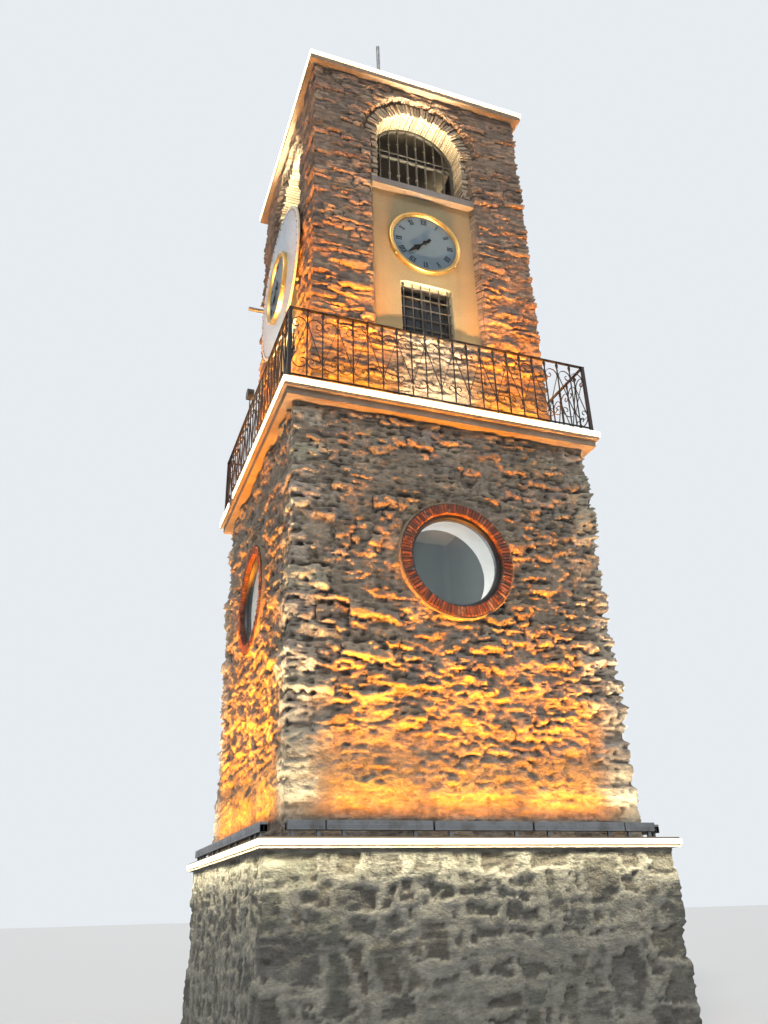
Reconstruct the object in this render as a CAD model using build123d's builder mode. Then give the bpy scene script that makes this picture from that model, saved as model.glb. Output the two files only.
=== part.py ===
from build123d import *
import math
import os

os.makedirs("parts", exist_ok=True)

# Stone clock tower on a square plinth. The origin is at ground level in the middle of the
# plinth, +Z is up and the front looks along -Y. All lengths are in millimetres.

# Lower shaft
lower_half = 1830.0
lower_wall = 430.0
lower_height = 4460.0

# Plinth under it and the ledge on the plinth, by how far each stands out
plinth_step = 200.0
base_height = 2050.0
ledge_overhang = 50.0
ledge_thickness = 90.0

# Round windows of the lower shaft, with a ring of thin bricks through the whole wall
oculus_rise = 2785.0
oculus_bricks = 80
oculus_ring_outer = 650.0
oculus_ring_inner = 540.0
oculus_ring_proud = 35.0
oculus_frame_setback = 40.0
oculus_frame_depth = 50.0
oculus_frame_width = 50.0
oculus_glass_thickness = 8.0

# Balcony slab with a stepped edge, by how far it stands out from the lower shaft
balcony_reach = 140.0
balcony_lip_step = 40.0
balcony_thickness = 200.0
balcony_lip_height = 90.0

# Railing, with a bent flat bar like a stretched S in each bay
rail_setback = 55.0
rail_height = 978.0
rail_post = 40.0
rail_bays = 21
top_rail_width = 44.0
top_rail_thickness = 12.0
foot_rail_rise = 70.0
foot_rail_width = 26.0
foot_rail_thickness = 10.0
rail_bar = 14.0
bays_per_stanchion = 7
scroll_bar = 8.0
scroll_inset = 5.0
scroll_head = 0.82
scroll_foot = 0.20
scroll_curl = 0.07

# Upper shaft
upper_half = 1550.0
upper_wall = 375.0
upper_height = 5700.0
panel_recess = 75.0
panel_half = 762.0

# Small window under the clock
window_rise = 1250.0
window_width = 740.0
window_height = 928.0
window_setback = 110.0
window_frame = 45.0
window_frame_depth = 60.0
window_mullion = 40.0
window_glass_thickness = 6.0

# Belfry arch, sill, grille and floor
sill_rise = 3690.0
sill_height = 110.0
sill_proud = 30.0
arch_spring_rise = 4670.0
arch_bricks = 52
arch_inner_radius = 658.0
arch_ring = 177.0
arch_proud = 5.0
facing_cut_radius = 900.0
facing_cut_sides = 11
grille_setback = 320.0
grille_depth = 40.0
grille_frame = 45.0
grille_bar = 16.0
grille_bars = 8
grille_bar_spacing = 143.0
transom_height = 20.0
transom_gap = 90.0
belfry_floor_thickness = 160.0

# Roof slab, by how far it stands out from the upper shaft, and its pole
roof_overhang = 117.0
roof_thickness = 163.0
pole_radius = 30.0
pole_height = 3040.0
pole_plate_half = 150.0
pole_plate_thickness = 20.0

# Light strips on the edges of the three slabs
strip_proud = 15.0
ledge_strip_height = 50.0
ledge_strip_rise = 25.0
balcony_strip_height = 70.0
balcony_strip_rise = 122.0
roof_strip_height = 70.0
roof_strip_rise = 74.0
strip_break_place = 1140.0
strip_break_length = 290.0

# Wall washers in rows of three long ones on each side, on the ledge between two short ones
washer_long = 990.0
washer_short = 340.0
washer_gap = 14.0
washer_height = 80.0
washer_depth = 70.0
washer_rise = 55.0
washer_setback = 45.0
washer_foot = 40.0
washer_foot_depth = 50.0
balcony_washer_gap = 150.0

# Lamp behind the front edge of each belfry sill
belfry_lamp_length = 900.0
belfry_lamp_depth = 60.0
belfry_lamp_height = 50.0
belfry_lamp_gap = 40.0

# Clocks
clock_rise = 2870.0
case_outer = 520.0
case_inner = 426.0
case_height = 48.0
case_shoulder = 20.0
case_round = 34.0
case_bevel = 26.0
dial_margin = 6.0
dial_thickness = 22.0
hand_gap = 8.0
hand_thickness = 4.0
hour_length = 250.0
hour_tail = 85.0
hour_stem = 26.0
hour_blade = 92.0
minute_length = 350.0
minute_tail = 110.0
minute_stem = 20.0
minute_blade = 50.0
blade_neck_share = 0.32
blade_belly_share = 0.66
hub_radius = 30.0
arbor_radius = 6.0
tube_radius = 14.0
running_gap = 0.4
shown_hour = 7
shown_minute = 38

# Large disc behind the left clock
disc_radius = 1100.0
disc_rise = 2940.0
disc_thickness = 20.0
disc_standoff = 85.0
disc_stud_width = 40.0
disc_stud_circle = 620.0
disc_studs = 6

# Floodlight on the left railing and pipe stub high on the left wall
flood_place = 400.0
flood_radius = 80.0
flood_depth = 90.0
flood_stalk = 230.0
flood_stalk_width = 24.0
stub_corner_gap = 50.0
stub_rise = 3640.0
stub_radius = 32.0
stub_bore = 26.0
stub_length = 265.0

# Clearance between round pieces that fit in each other
fit = 0.3

# The rounds of brickwork are straight along every pair of bricks
bricks_per_straight = 2

# Half widths and levels worked out from the sizes above
base_half = lower_half + plinth_step
ledge_half = base_half + ledge_overhang
balcony_half = lower_half + balcony_reach
balcony_lip_half = balcony_half - balcony_lip_step
rail_half = balcony_half - rail_setback
roof_half = upper_half + roof_overhang
ledge_top = base_height + ledge_thickness
balcony_foot = ledge_top + lower_height
balcony_top = balcony_foot + balcony_thickness
soffit = balcony_top + upper_height
roof_top = soffit + roof_thickness
oculus_z = ledge_top + oculus_rise
panel_out = upper_half - panel_recess
window_foot = balcony_top + window_rise
sill_foot = balcony_top + sill_rise
sill_top = sill_foot + sill_height
spring_z = balcony_top + arch_spring_rise
clock_z = balcony_top + clock_rise
disc_z = balcony_top + disc_rise
rail_top = balcony_top + rail_height
disc_face = upper_half + disc_standoff + disc_thickness
oculus_sides = oculus_bricks // bricks_per_straight
arch_sides = arch_bricks // bricks_per_straight

# Each side as its direction to the viewer's right and its outward direction
SIDES = {
    "front": ((1, 0, 0), (0, -1, 0)),
    "right": ((0, 1, 0), (1, 0, 0)),
    "back": ((-1, 0, 0), (0, 1, 0)),
    "left": ((0, -1, 0), (-1, 0, 0)),
}
FULL_WIDTH_SIDES = ("front", "back")


def face_plane(side, out, up=0.0):
    """Upright plane on one side: x to the viewer's right, y up and z outwards."""
    right, outward = SIDES[side]
    origin = Vector(*outward) * out + Vector(0, 0, up)
    return Plane(origin=origin, x_dir=right, z_dir=outward)


def save(builder, name):
    builder.part.label = name
    export_step(builder.part, f"parts/{name}.step")


def build_slab(name, half, foot, thickness):
    with BuildPart() as slab:
        with BuildSketch(Plane.XY.offset(foot)):
            Rectangle(2 * half, 2 * half)
        extrude(amount=thickness)
    save(slab, name)


# Walls
def wall_width(side, half, thickness):
    """Front and back walls run full width and the side walls fit between them."""
    if side in FULL_WIDTH_SIDES:
        return 2 * half
    return 2 * (half - thickness)


def build_lower_wall(side):
    with BuildPart() as wall:
        with BuildSketch(face_plane(side, lower_half)):
            with Locations((0, ledge_top + lower_height / 2)):
                Rectangle(wall_width(side, lower_half, lower_wall), lower_height)
            with Locations((0, oculus_z)):
                RegularPolygon(oculus_ring_outer + fit, oculus_sides, mode=Mode.SUBTRACT)
        extrude(amount=-lower_wall)
    save(wall, f"{side}_lower_wall")


def arch_outline(half_width, radius, sides, foot, mode=Mode.ADD):
    """Outline with straight jambs and a half round head made of straight sides."""
    steps = [math.pi * i / sides for i in range(sides + 1)]
    head = [(radius * math.cos(a), spring_z + radius * math.sin(a)) for a in steps]
    jambs = [(-half_width, foot), (half_width, foot)]
    if half_width != radius:
        jambs = [(-half_width, spring_z), *jambs, (half_width, spring_z)]
    with BuildLine() as outline:
        Polyline(*head, *jambs, close=True)
    make_face(outline.edges(), mode=mode)


def build_upper_wall(side):
    with BuildPart() as wall:
        with BuildSketch(face_plane(side, upper_half)):
            with Locations((0, balcony_top + upper_height / 2)):
                Rectangle(wall_width(side, upper_half, upper_wall), upper_height)
        extrude(amount=-upper_wall)
        with BuildSketch(face_plane(side, upper_half)):
            arch_outline(panel_half, facing_cut_radius, facing_cut_sides, window_foot)
        extrude(amount=-panel_recess, mode=Mode.SUBTRACT)
        with BuildSketch(face_plane(side, upper_half)):
            arch_outline(panel_half, arch_inner_radius + arch_ring + fit, arch_sides, sill_foot)
            with Locations((0, window_foot + window_height / 2)):
                Rectangle(window_width, window_height)
        extrude(amount=-upper_wall, mode=Mode.SUBTRACT)
    save(wall, f"{side}_upper_wall")


# Round windows of the lower shaft
def build_oculus_rings():
    """Rings of brickwork as deep as the wall."""
    with BuildPart() as rings:
        for side in SIDES:
            with BuildSketch(face_plane(side, lower_half - lower_wall)):
                with Locations((0, oculus_z)):
                    RegularPolygon(oculus_ring_outer, oculus_sides)
                    RegularPolygon(oculus_ring_inner, oculus_sides, mode=Mode.SUBTRACT)
            extrude(amount=lower_wall + oculus_ring_proud)
    save(rings, "oculus_brick_rings")


def build_oculus_frames():
    with BuildPart() as frames:
        for side in SIDES:
            with BuildSketch(face_plane(side, lower_half - oculus_frame_setback)):
                with Locations((0, oculus_z)):
                    RegularPolygon(oculus_ring_inner - fit, oculus_sides)
                    RegularPolygon(
                        oculus_ring_inner - oculus_frame_width, oculus_sides, mode=Mode.SUBTRACT
                    )
            extrude(amount=-oculus_frame_depth)
    save(frames, "oculus_frames")


def build_oculus_glass():
    glass_out = lower_half - oculus_frame_setback - oculus_frame_depth / 2
    with BuildPart() as glass:
        for side in SIDES:
            with BuildSketch(face_plane(side, glass_out)):
                with Locations((0, oculus_z)):
                    RegularPolygon(oculus_ring_inner - oculus_frame_width - fit, oculus_sides)
            extrude(amount=oculus_glass_thickness / 2, both=True)
    save(glass, "oculus_glass")


# Balcony and railing
def build_balcony():
    with BuildPart() as slab:
        with BuildSketch(Plane.XY.offset(balcony_foot)):
            Rectangle(2 * balcony_lip_half, 2 * balcony_lip_half)
        extrude(amount=balcony_lip_height)
        with BuildSketch(Plane.XY.offset(balcony_foot + balcony_lip_height)):
            Rectangle(2 * balcony_half, 2 * balcony_half)
        extrude(amount=balcony_thickness - balcony_lip_height)
    save(slab, "balcony_slab")


def scroll_outline(bay, height):
    """Flat bar bent like a stretched S that leans from the foot of one bar to the head of the next."""
    with BuildSketch() as scroll:
        with BuildLine():
            Polyline(
                (bay * 0.3, height * (scroll_head - scroll_curl)),
                (bay * 0.5, height * (scroll_head + scroll_curl)),
                (bay - scroll_inset - scroll_bar, height * scroll_head),
                (scroll_inset, height * scroll_foot),
                (bay * 0.5, height * (scroll_foot - scroll_curl)),
                (bay * 0.7, height * (scroll_foot + scroll_curl)),
            )
            offset(amount=scroll_bar, side=Side.LEFT, kind=Kind.INTERSECTION)
        make_face()
    return scroll.sketch


def build_railing(side):
    """One side of the railing; the front and the back carry the corner posts."""
    has_posts = side in FULL_WIDTH_SIDES
    inner_half = rail_half - rail_post / 2
    reach = rail_half + top_rail_width / 2 if has_posts else rail_half - top_rail_width / 2
    bay = 2 * inner_half / rail_bays
    foot_z = balcony_top + foot_rail_rise
    head_z = rail_top - top_rail_thickness
    bars = [-inner_half + bay * i for i in range(1, rail_bays)]
    stanchions = bars[bays_per_stanchion - 1 :: bays_per_stanchion]
    bay_starts = [(-inner_half + bay * i, foot_z) for i in range(rail_bays)]
    scroll = scroll_outline(bay, head_z - foot_z)
    mirrored_scroll = mirror(scroll, Plane.YZ.offset(bay / 2))
    with BuildPart() as rail:
        with BuildSketch(face_plane(side, rail_half)):
            with Locations((0, rail_top - top_rail_thickness / 2)):
                Rectangle(2 * reach, top_rail_thickness)
        extrude(amount=top_rail_width / 2, both=True)
        with BuildSketch(face_plane(side, rail_half)):
            with Locations((0, foot_z)):
                Rectangle(2 * inner_half, foot_rail_thickness)
        extrude(amount=foot_rail_width / 2, both=True)
        with BuildSketch(face_plane(side, rail_half)):
            with Locations(*[(x, (foot_z + head_z) / 2) for x in bars]):
                Rectangle(rail_bar, head_z - foot_z)
            with Locations(*[(x, (balcony_top + foot_z) / 2) for x in stanchions]):
                Rectangle(rail_bar, foot_z - balcony_top)
            with Locations(*bay_starts[0::2]):
                add(scroll)
            with Locations(*bay_starts[1::2]):
                add(mirrored_scroll)
        extrude(amount=rail_bar / 2, both=True)
        if has_posts:
            with BuildSketch(face_plane(side, rail_half)):
                with Locations(*[(x, (balcony_top + head_z) / 2) for x in (-rail_half, rail_half)]):
                    Rectangle(rail_post, head_z - balcony_top)
            extrude(amount=rail_post / 2, both=True)
    save(rail, f"{side}_railing")


# Belfry
def build_belfry_arch(side):
    ring_out = panel_out + arch_proud
    inner_out = upper_half - upper_wall
    with BuildPart() as arch:
        with BuildSketch(face_plane(side, inner_out)):
            arch_outline(panel_half, arch_inner_radius + arch_ring, arch_sides, sill_top)
            arch_outline(
                arch_inner_radius, arch_inner_radius, arch_sides, sill_top, mode=Mode.SUBTRACT
            )
        extrude(amount=ring_out - inner_out)
    save(arch, f"{side}_belfry_arch")


def build_belfry_sills():
    inner_out = upper_half - upper_wall
    with BuildPart() as sills:
        for side in SIDES:
            with BuildSketch(face_plane(side, inner_out)):
                with Locations((0, sill_foot + sill_height / 2)):
                    Rectangle(2 * panel_half, sill_height)
            extrude(amount=upper_wall + sill_proud)
    save(sills, "belfry_sills")


def build_belfry_grilles():
    """Arched frames with two rails at the springing line and upright bars."""
    outer = arch_inner_radius - fit
    inner = outer - grille_frame
    bar_places = [(i - (grille_bars - 1) / 2) * grille_bar_spacing for i in range(grille_bars)]
    foot = sill_top + grille_frame / 2
    with BuildPart() as grilles:
        for side in SIDES:
            with BuildSketch(face_plane(side, upper_half - grille_setback)):
                arch_outline(outer, outer, arch_sides, sill_top)
                arch_outline(inner, inner, arch_sides, sill_top + grille_frame, mode=Mode.SUBTRACT)
                with Locations((0, spring_z), (0, spring_z + transom_gap)):
                    Rectangle(2 * inner + grille_frame / 4, transom_height)
                for x in bar_places:
                    head = spring_z + (inner**2 - x**2) ** 0.5 + grille_frame / 2
                    with Locations((x, (head + foot) / 2)):
                        Rectangle(grille_bar, head - foot)
            extrude(amount=-grille_depth)
    save(grilles, "belfry_grilles")


# Small windows under the clocks
def build_window_frames():
    with BuildPart() as frames:
        for side in SIDES:
            with BuildSketch(face_plane(side, panel_out - window_setback)):
                with Locations((0, window_foot + window_height / 2)):
                    Rectangle(window_width, window_height)
                    Rectangle(
                        window_width - 2 * window_frame,
                        window_height - 2 * window_frame,
                        mode=Mode.SUBTRACT,
                    )
                    Rectangle(window_mullion, window_height - window_frame)
            extrude(amount=-window_frame_depth)
    save(frames, "window_frames")


def build_window_glass():
    glass_out = panel_out - window_setback - window_frame_depth
    with BuildPart() as glass:
        for side in SIDES:
            with BuildSketch(face_plane(side, glass_out)):
                with Locations((0, window_foot + window_height / 2)):
                    Rectangle(window_width, window_height)
            extrude(amount=-window_glass_thickness)
    save(glass, "window_glass")


# Clocks
def clock_seat(side):
    """Distance from the tower's axis to the face that the clock stands on."""
    return disc_face if side == "left" else panel_out


def build_clock_cases():
    """Rings on the dials' edges, each turned about its clock's own axis."""
    with BuildPart() as cases:
        for side in SIDES:
            face = face_plane(side, clock_seat(side) + dial_thickness, clock_z)
            with BuildSketch(Plane(origin=face.origin, x_dir=face.x_dir, z_dir=-face.y_dir)):
                with BuildLine():
                    Polyline(
                        (case_outer, 0),
                        (case_inner, 0),
                        (case_inner + case_bevel, case_height),
                        (case_outer - case_round, case_height),
                        (case_outer, case_shoulder),
                        close=True,
                    )
                make_face()
            revolve(axis=Axis(face.origin, face.z_dir))
    save(cases, "clock_cases")


def build_clock_dials():
    with BuildPart() as dials:
        for side in SIDES:
            with BuildSketch(face_plane(side, clock_seat(side), clock_z)):
                Circle(case_outer - dial_margin)
                Circle(tube_radius + running_gap, mode=Mode.SUBTRACT)
            extrude(amount=dial_thickness)
    save(dials, "clock_dials")


def hand_plane(side, out, degrees):
    """Plane on the clock's axis with y along a hand that stands this far clockwise from 12."""
    face = face_plane(side, out, clock_z)
    angle = math.radians(degrees)
    across = face.x_dir * math.cos(angle) - face.y_dir * math.sin(angle)
    return Plane(origin=face.origin, x_dir=across, z_dir=face.z_dir)


def build_hand(side, name, degrees, out, length, tail, stem, blade, shaft_radius, bore_radius, shaft_back):
    """Spade hand on a hub, with the shaft or tube that carries it in the clock."""
    plane = hand_plane(side, out, degrees)
    half_outline = [
        (stem, -tail),
        (stem / 2, 0),
        (stem / 2, length * blade_neck_share),
        (blade / 2, length * blade_belly_share),
    ]
    other_half = [(-x, y) for x, y in reversed(half_outline)]
    with BuildPart() as hand:
        with BuildSketch(plane):
            with BuildLine():
                Polyline(*half_outline, (0, length), *other_half, close=True)
            make_face()
            Circle(hub_radius)
        extrude(amount=hand_thickness)
        with BuildSketch(plane):
            Circle(shaft_radius)
        extrude(amount=-shaft_back)
        if bore_radius:
            with BuildSketch(plane.offset(hand_thickness)):
                Circle(bore_radius)
            extrude(amount=-shaft_back - hand_thickness, mode=Mode.SUBTRACT)
    save(hand, f"{side}_{name}_hand")


def build_clock_hands(side):
    minute_degrees = shown_minute * 6
    hour_degrees = shown_hour * 30 + shown_minute / 2
    hour_out = clock_seat(side) + dial_thickness + hand_gap
    minute_out = hour_out + hand_thickness + hand_gap
    build_hand(
        side, "hour", hour_degrees, hour_out, hour_length, hour_tail, hour_stem, hour_blade,
        tube_radius, arbor_radius + running_gap, dial_thickness + hand_gap - running_gap,
    )
    build_hand(
        side, "minute", minute_degrees, minute_out, minute_length, minute_tail, minute_stem, minute_blade,
        arbor_radius, 0, minute_out - clock_seat(side) - running_gap,
    )


def build_left_disc():
    with BuildPart() as disc:
        with BuildSketch(face_plane("left", disc_face - disc_thickness, disc_z)):
            Circle(disc_radius)
        extrude(amount=disc_thickness)
        with BuildSketch(face_plane("left", disc_face - disc_thickness, disc_z)):
            with PolarLocations(disc_stud_circle, disc_studs, start_angle=30):
                Rectangle(disc_stud_width, disc_stud_width)
        extrude(amount=-(disc_face - disc_thickness - panel_out))
    save(disc, "left_clock_disc")


# Light strips and wall washers
def build_strip(name, half, foot, height, broken=False):
    with BuildPart() as strip:
        with BuildSketch(Plane.XY.offset(foot)):
            Rectangle(2 * (half + strip_proud), 2 * (half + strip_proud))
            Rectangle(2 * half, 2 * half, mode=Mode.SUBTRACT)
            if broken:
                with Locations((-half, strip_break_place)):
                    Rectangle(4 * strip_proud, strip_break_length, mode=Mode.SUBTRACT)
        extrude(amount=height)
    save(strip, name)


def build_washers(name, row, stand_z, centre_out):
    """Bars on short feet on each side, in a row of (place, length) pairs."""
    with BuildPart() as washers:
        for side in SIDES:
            with BuildSketch(face_plane(side, centre_out, stand_z)):
                for x, length in row:
                    with Locations((x, washer_rise + washer_height / 2)):
                        Rectangle(length, washer_height)
            extrude(amount=washer_depth / 2, both=True)
            with BuildSketch(face_plane(side, centre_out, stand_z)):
                for x, length in row:
                    with Locations((x - length / 3, washer_rise / 2), (x + length / 3, washer_rise / 2)):
                        Rectangle(washer_foot, washer_rise)
            extrude(amount=washer_foot_depth / 2, both=True)
    save(washers, name)


def build_belfry_lamps():
    with BuildPart() as lamps:
        for side in SIDES:
            with BuildSketch(face_plane(side, upper_half - grille_setback + belfry_lamp_gap)):
                with Locations((0, sill_top + belfry_lamp_height / 2)):
                    Rectangle(belfry_lamp_length, belfry_lamp_height)
            extrude(amount=belfry_lamp_depth)
    save(lamps, "belfry_lamps")


# Roof pole, floodlight and pipe stub
def build_pole():
    with BuildPart() as pole:
        with BuildSketch(Plane.XY.offset(roof_top)):
            Rectangle(2 * pole_plate_half, 2 * pole_plate_half)
        extrude(amount=pole_plate_thickness)
        with BuildSketch(Plane.XY.offset(roof_top)):
            Circle(pole_radius)
        extrude(amount=pole_height)
    save(pole, "roof_pole")


def build_floodlight():
    """Lamp on a stalk that stands on the left top rail, turned towards the clock."""
    stand = face_plane("left", rail_half, rail_top)
    lamp_rise = flood_stalk + flood_radius * 0.6
    with BuildPart() as lamp:
        with BuildSketch(stand):
            with Locations((-flood_place, flood_stalk / 2)):
                Rectangle(flood_stalk_width, flood_stalk)
        extrude(amount=flood_stalk_width / 4, both=True)
        with BuildSketch(stand):
            with Locations((-flood_place, lamp_rise)):
                Circle(flood_radius)
        extrude(amount=flood_depth / 2, both=True)
    save(lamp, "rail_floodlight")


def build_pipe_stub():
    with BuildPart() as stub:
        with BuildSketch(face_plane("left", upper_half, balcony_top + stub_rise)):
            with Locations((stub_corner_gap - upper_half, 0)):
                Circle(stub_radius)
                Circle(stub_bore, mode=Mode.SUBTRACT)
        extrude(amount=stub_length)
    save(stub, "left_pipe_stub")


build_slab("base_masonry", base_half, 0, base_height)
build_slab("base_ledge", ledge_half, base_height, ledge_thickness)
build_slab("belfry_floor", upper_half - upper_wall, sill_top - belfry_floor_thickness, belfry_floor_thickness)
build_slab("roof_slab", roof_half, soffit, roof_thickness)
build_balcony()
build_oculus_rings()
build_oculus_frames()
build_oculus_glass()
build_belfry_sills()
build_window_frames()
build_window_glass()
build_belfry_grilles()
build_belfry_lamps()
build_clock_cases()
build_clock_dials()
for side in SIDES:
    build_lower_wall(side)
    build_upper_wall(side)
    build_railing(side)
    build_belfry_arch(side)
    build_clock_hands(side)
build_left_disc()
washer_pitch = washer_long + washer_gap
end_place = 1.5 * washer_pitch + washer_short / 2
long_row = [(washer_pitch * (i - 1), washer_long) for i in range(3)]
ledge_row = [*long_row, (-end_place, washer_short), (end_place, washer_short)]
build_washers("wall_washers", ledge_row, ledge_top, ledge_half - washer_setback - washer_depth / 2)
build_washers(
    "balcony_washers", long_row, balcony_top, upper_half + balcony_washer_gap + washer_depth / 2
)
build_strip("ledge_light_strip", ledge_half, base_height + ledge_strip_rise, ledge_strip_height)
build_strip(
    "balcony_light_strip", balcony_half, balcony_foot + balcony_strip_rise, balcony_strip_height, broken=True
)
build_strip("roof_light_strip", roof_half, soffit + roof_strip_rise, roof_strip_height)
build_pole()
build_floodlight()
build_pipe_stub()
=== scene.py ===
import itertools
import math

import bmesh
import bpy
import numpy as np
from mathutils import Matrix, Vector


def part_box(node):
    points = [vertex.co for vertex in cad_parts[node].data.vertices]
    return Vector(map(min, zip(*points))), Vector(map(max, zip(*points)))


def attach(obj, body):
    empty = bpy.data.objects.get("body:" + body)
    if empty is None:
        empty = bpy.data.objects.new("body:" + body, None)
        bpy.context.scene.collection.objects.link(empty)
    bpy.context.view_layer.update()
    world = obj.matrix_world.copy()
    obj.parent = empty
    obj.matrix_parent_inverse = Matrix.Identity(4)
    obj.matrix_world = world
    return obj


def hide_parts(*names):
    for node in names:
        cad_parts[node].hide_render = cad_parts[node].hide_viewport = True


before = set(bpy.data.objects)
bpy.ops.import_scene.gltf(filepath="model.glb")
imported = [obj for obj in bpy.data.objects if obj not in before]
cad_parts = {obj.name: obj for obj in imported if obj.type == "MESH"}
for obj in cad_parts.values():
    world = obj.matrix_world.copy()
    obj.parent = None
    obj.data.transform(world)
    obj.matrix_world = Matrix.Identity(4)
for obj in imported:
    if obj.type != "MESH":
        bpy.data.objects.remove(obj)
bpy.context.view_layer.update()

# Sizes in metres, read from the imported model
LOWER_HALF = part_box("front_lower_wall")[1].x
LOWER_INNER = -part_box("front_lower_wall")[1].y
UPPER_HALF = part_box("front_upper_wall")[1].x
BASE_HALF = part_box("base_masonry")[1].x
BASE_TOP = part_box("base_masonry")[1].z
LEDGE_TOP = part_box("base_ledge")[1].z
BALCONY_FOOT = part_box("balcony_slab")[0].z
BALCONY_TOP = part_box("balcony_slab")[1].z
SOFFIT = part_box("roof_slab")[0].z
SILL_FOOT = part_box("belfry_sills")[0].z
SILL_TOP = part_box("belfry_sills")[1].z
RING_LOW, RING_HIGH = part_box("oculus_brick_rings")
OCULUS_Z = (RING_LOW.z + RING_HIGH.z) / 2
RING_OUT = RING_HIGH.x
RING_OUTER = (RING_HIGH.z - RING_LOW.z) / 2
GLASS_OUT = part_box("oculus_glass")[1].x
FRAME_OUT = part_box("oculus_frames")[1].x
ARCH_OUT = -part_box("front_belfry_arch")[0].y
ARCH_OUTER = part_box("front_belfry_arch")[1].x
GRILLE_OUT = -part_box("belfry_grilles")[0].y
WINDOW_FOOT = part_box("window_frames")[0].z
WINDOW_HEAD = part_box("window_frames")[1].z
WINDOW_OUT = -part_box("window_frames")[0].y
CASE_LOW, CASE_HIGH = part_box("clock_cases")
CLOCK_Z = (CASE_LOW.z + CASE_HIGH.z) / 2
CASE_RADIUS = (CASE_HIGH.z - CASE_LOW.z) / 2
RAIL_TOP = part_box("front_railing")[1].z

# Sizes in metres that the source names and the boxes don't give
RING_INNER = 0.540
PANEL_OUT = UPPER_HALF - 0.075
PANEL_HALF = 0.762
WINDOW_HALF = 0.370
SPRING_Z = 11.470
ARCH_INNER = 0.658
CUT_RADIUS = 0.885
CUT_SIDES = 11
CASE_INNER = 0.426
DIAL_THICKNESS = 0.022
DIAL_EDGE = 0.462
DISC_OUT = 1.655
RAIL_OUT = 1.915
RAIL_BAYS = 21
RAIL_POST = 0.040

SIDES = ("front", "right", "back", "left")
OUTWARD = np.array([(0, -1, 0), (1, 0, 0), (0, 1, 0), (-1, 0, 0)], float)
ALONG = np.array([(1, 0, 0), (0, 1, 0), (-1, 0, 0), (0, -1, 0)], float)
UP = np.array((0, 0, 1), float)


# Places on the tower
def on_side(side, along, out, up):
    """Points on one side: along to the viewer's right, out from the tower's axis, up from the ground."""
    k = SIDES.index(side)
    along, out, up = np.broadcast_arrays(*[np.asarray(value, float) for value in (along, out, up)])
    return along[..., None] * ALONG[k] + out[..., None] * OUTWARD[k] + up[..., None] * UP


def on_circle(side, centre_z, radius, turn, out):
    """Points on one side, by their radius and angle about a height over the side's middle."""
    return on_side(side, radius * np.cos(turn), out, centre_z + radius * np.sin(turn))


def split_round(u, half):
    """Side number and distance from that side's middle, for places measured round a square shaft."""
    u = np.mod(u, 8 * half)
    k = np.minimum((u / (2 * half)).astype(int), 3)
    return k, u - (2 * k + 1) * half


def wrap(u, v, h, half):
    """Points round a square shaft: u from the front's left corner, v up, h out from the face."""
    k, s = split_round(u, half)
    out = half + h
    return (s * out / half)[..., None] * ALONG[k] + out[..., None] * OUTWARD[k] + v[..., None] * UP


# Repeatable noise
def lattice(cell, seed):
    """A number from -1 to 1 for each cell of a grid in space, from the mixed bits of its place."""
    n = (cell[..., 0] * 73856093) ^ (cell[..., 1] * 19349663) ^ (cell[..., 2] * 83492791) ^ (seed * 7919)
    n = (n & 0xFFFFFFFF) ^ ((n & 0xFFFFFFFF) >> 13)
    n = (n * 1274126177) & 0xFFFFFFFF
    n = (n ^ (n >> 16)) & 0xFFFF
    return n / 32767.5 - 1.0


def noise(points, scale, seed):
    """Smooth noise from -1 to 1, scale in cells per metre."""
    p = points * scale
    cell = np.floor(p).astype(np.int64)
    f = p - cell
    f = f * f * (3 - 2 * f)
    total = np.zeros(p.shape[:-1])
    for corner in itertools.product((0, 1), repeat=3):
        weight = np.ones(p.shape[:-1])
        for axis in range(3):
            weight = weight * (f[..., axis] if corner[axis] else 1 - f[..., axis])
        total += weight * lattice(cell + np.array(corner), seed)
    return total


def waves(points, seed, *terms):
    """Sum of noises, each given as its share and its scale, with seeds that follow each other."""
    return sum(share * noise(points, scale, seed + i) for i, (share, scale) in enumerate(terms))


def ridge(points, scale, seed):
    """Noise with sharp crests, up to 1."""
    return 1 - 2 * np.abs(noise(points, scale, seed)) / 0.8


def smooth_step(value):
    """Goes from 0 to 1 without a corner at either end."""
    value = np.clip(value, 0, 1)
    return value * value * (3 - 2 * value)


# Meshes
def paint_points(mesh, tones):
    """Gives each point its tone and, as the fourth number, its openness to light, which the stone finish turns
    into painted shade in the hollows.
    """
    attribute = mesh.attributes.new("tone", "FLOAT_COLOR", "POINT")
    attribute.data.foreach_set("color", tones.astype(np.float32).ravel())


def finish_piece(name, mesh, material, replaces=(), smooth=False):
    """Makes a mesh a piece of the tower, with its material and the nodes that it stands for."""
    mesh.validate()
    mesh.polygons.foreach_set("use_smooth", [smooth] * len(mesh.polygons))
    mesh.materials.append(material)
    piece = bpy.data.objects.new(name, mesh)
    bpy.context.scene.collection.objects.link(piece)
    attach(piece, "root")
    if replaces:
        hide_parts(*replaces)


class Pile:
    """Many small forms that become one mesh."""

    def __init__(self):
        self.points, self.tones, self.faces, self.count = [], [], [], 0

    def add(self, points, faces, tone=(1, 1, 1)):
        points = np.asarray(points, float).reshape(-1, 3)
        self.points.append(points)
        self.tones.append(np.tile((*tone, 1.0), (len(points), 1)))
        self.faces.extend([tuple(int(i) + self.count for i in face) for face in faces])
        self.count += len(points)

    def build(self, name, material, slot, replaces=(), smooth=False):
        mesh = bpy.data.meshes.new(name)
        mesh.from_pydata(np.concatenate(self.points).tolist(), [], self.faces)
        paint_points(mesh, np.concatenate(self.tones))
        finish_piece(name, mesh, material, replaces, smooth)


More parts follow.
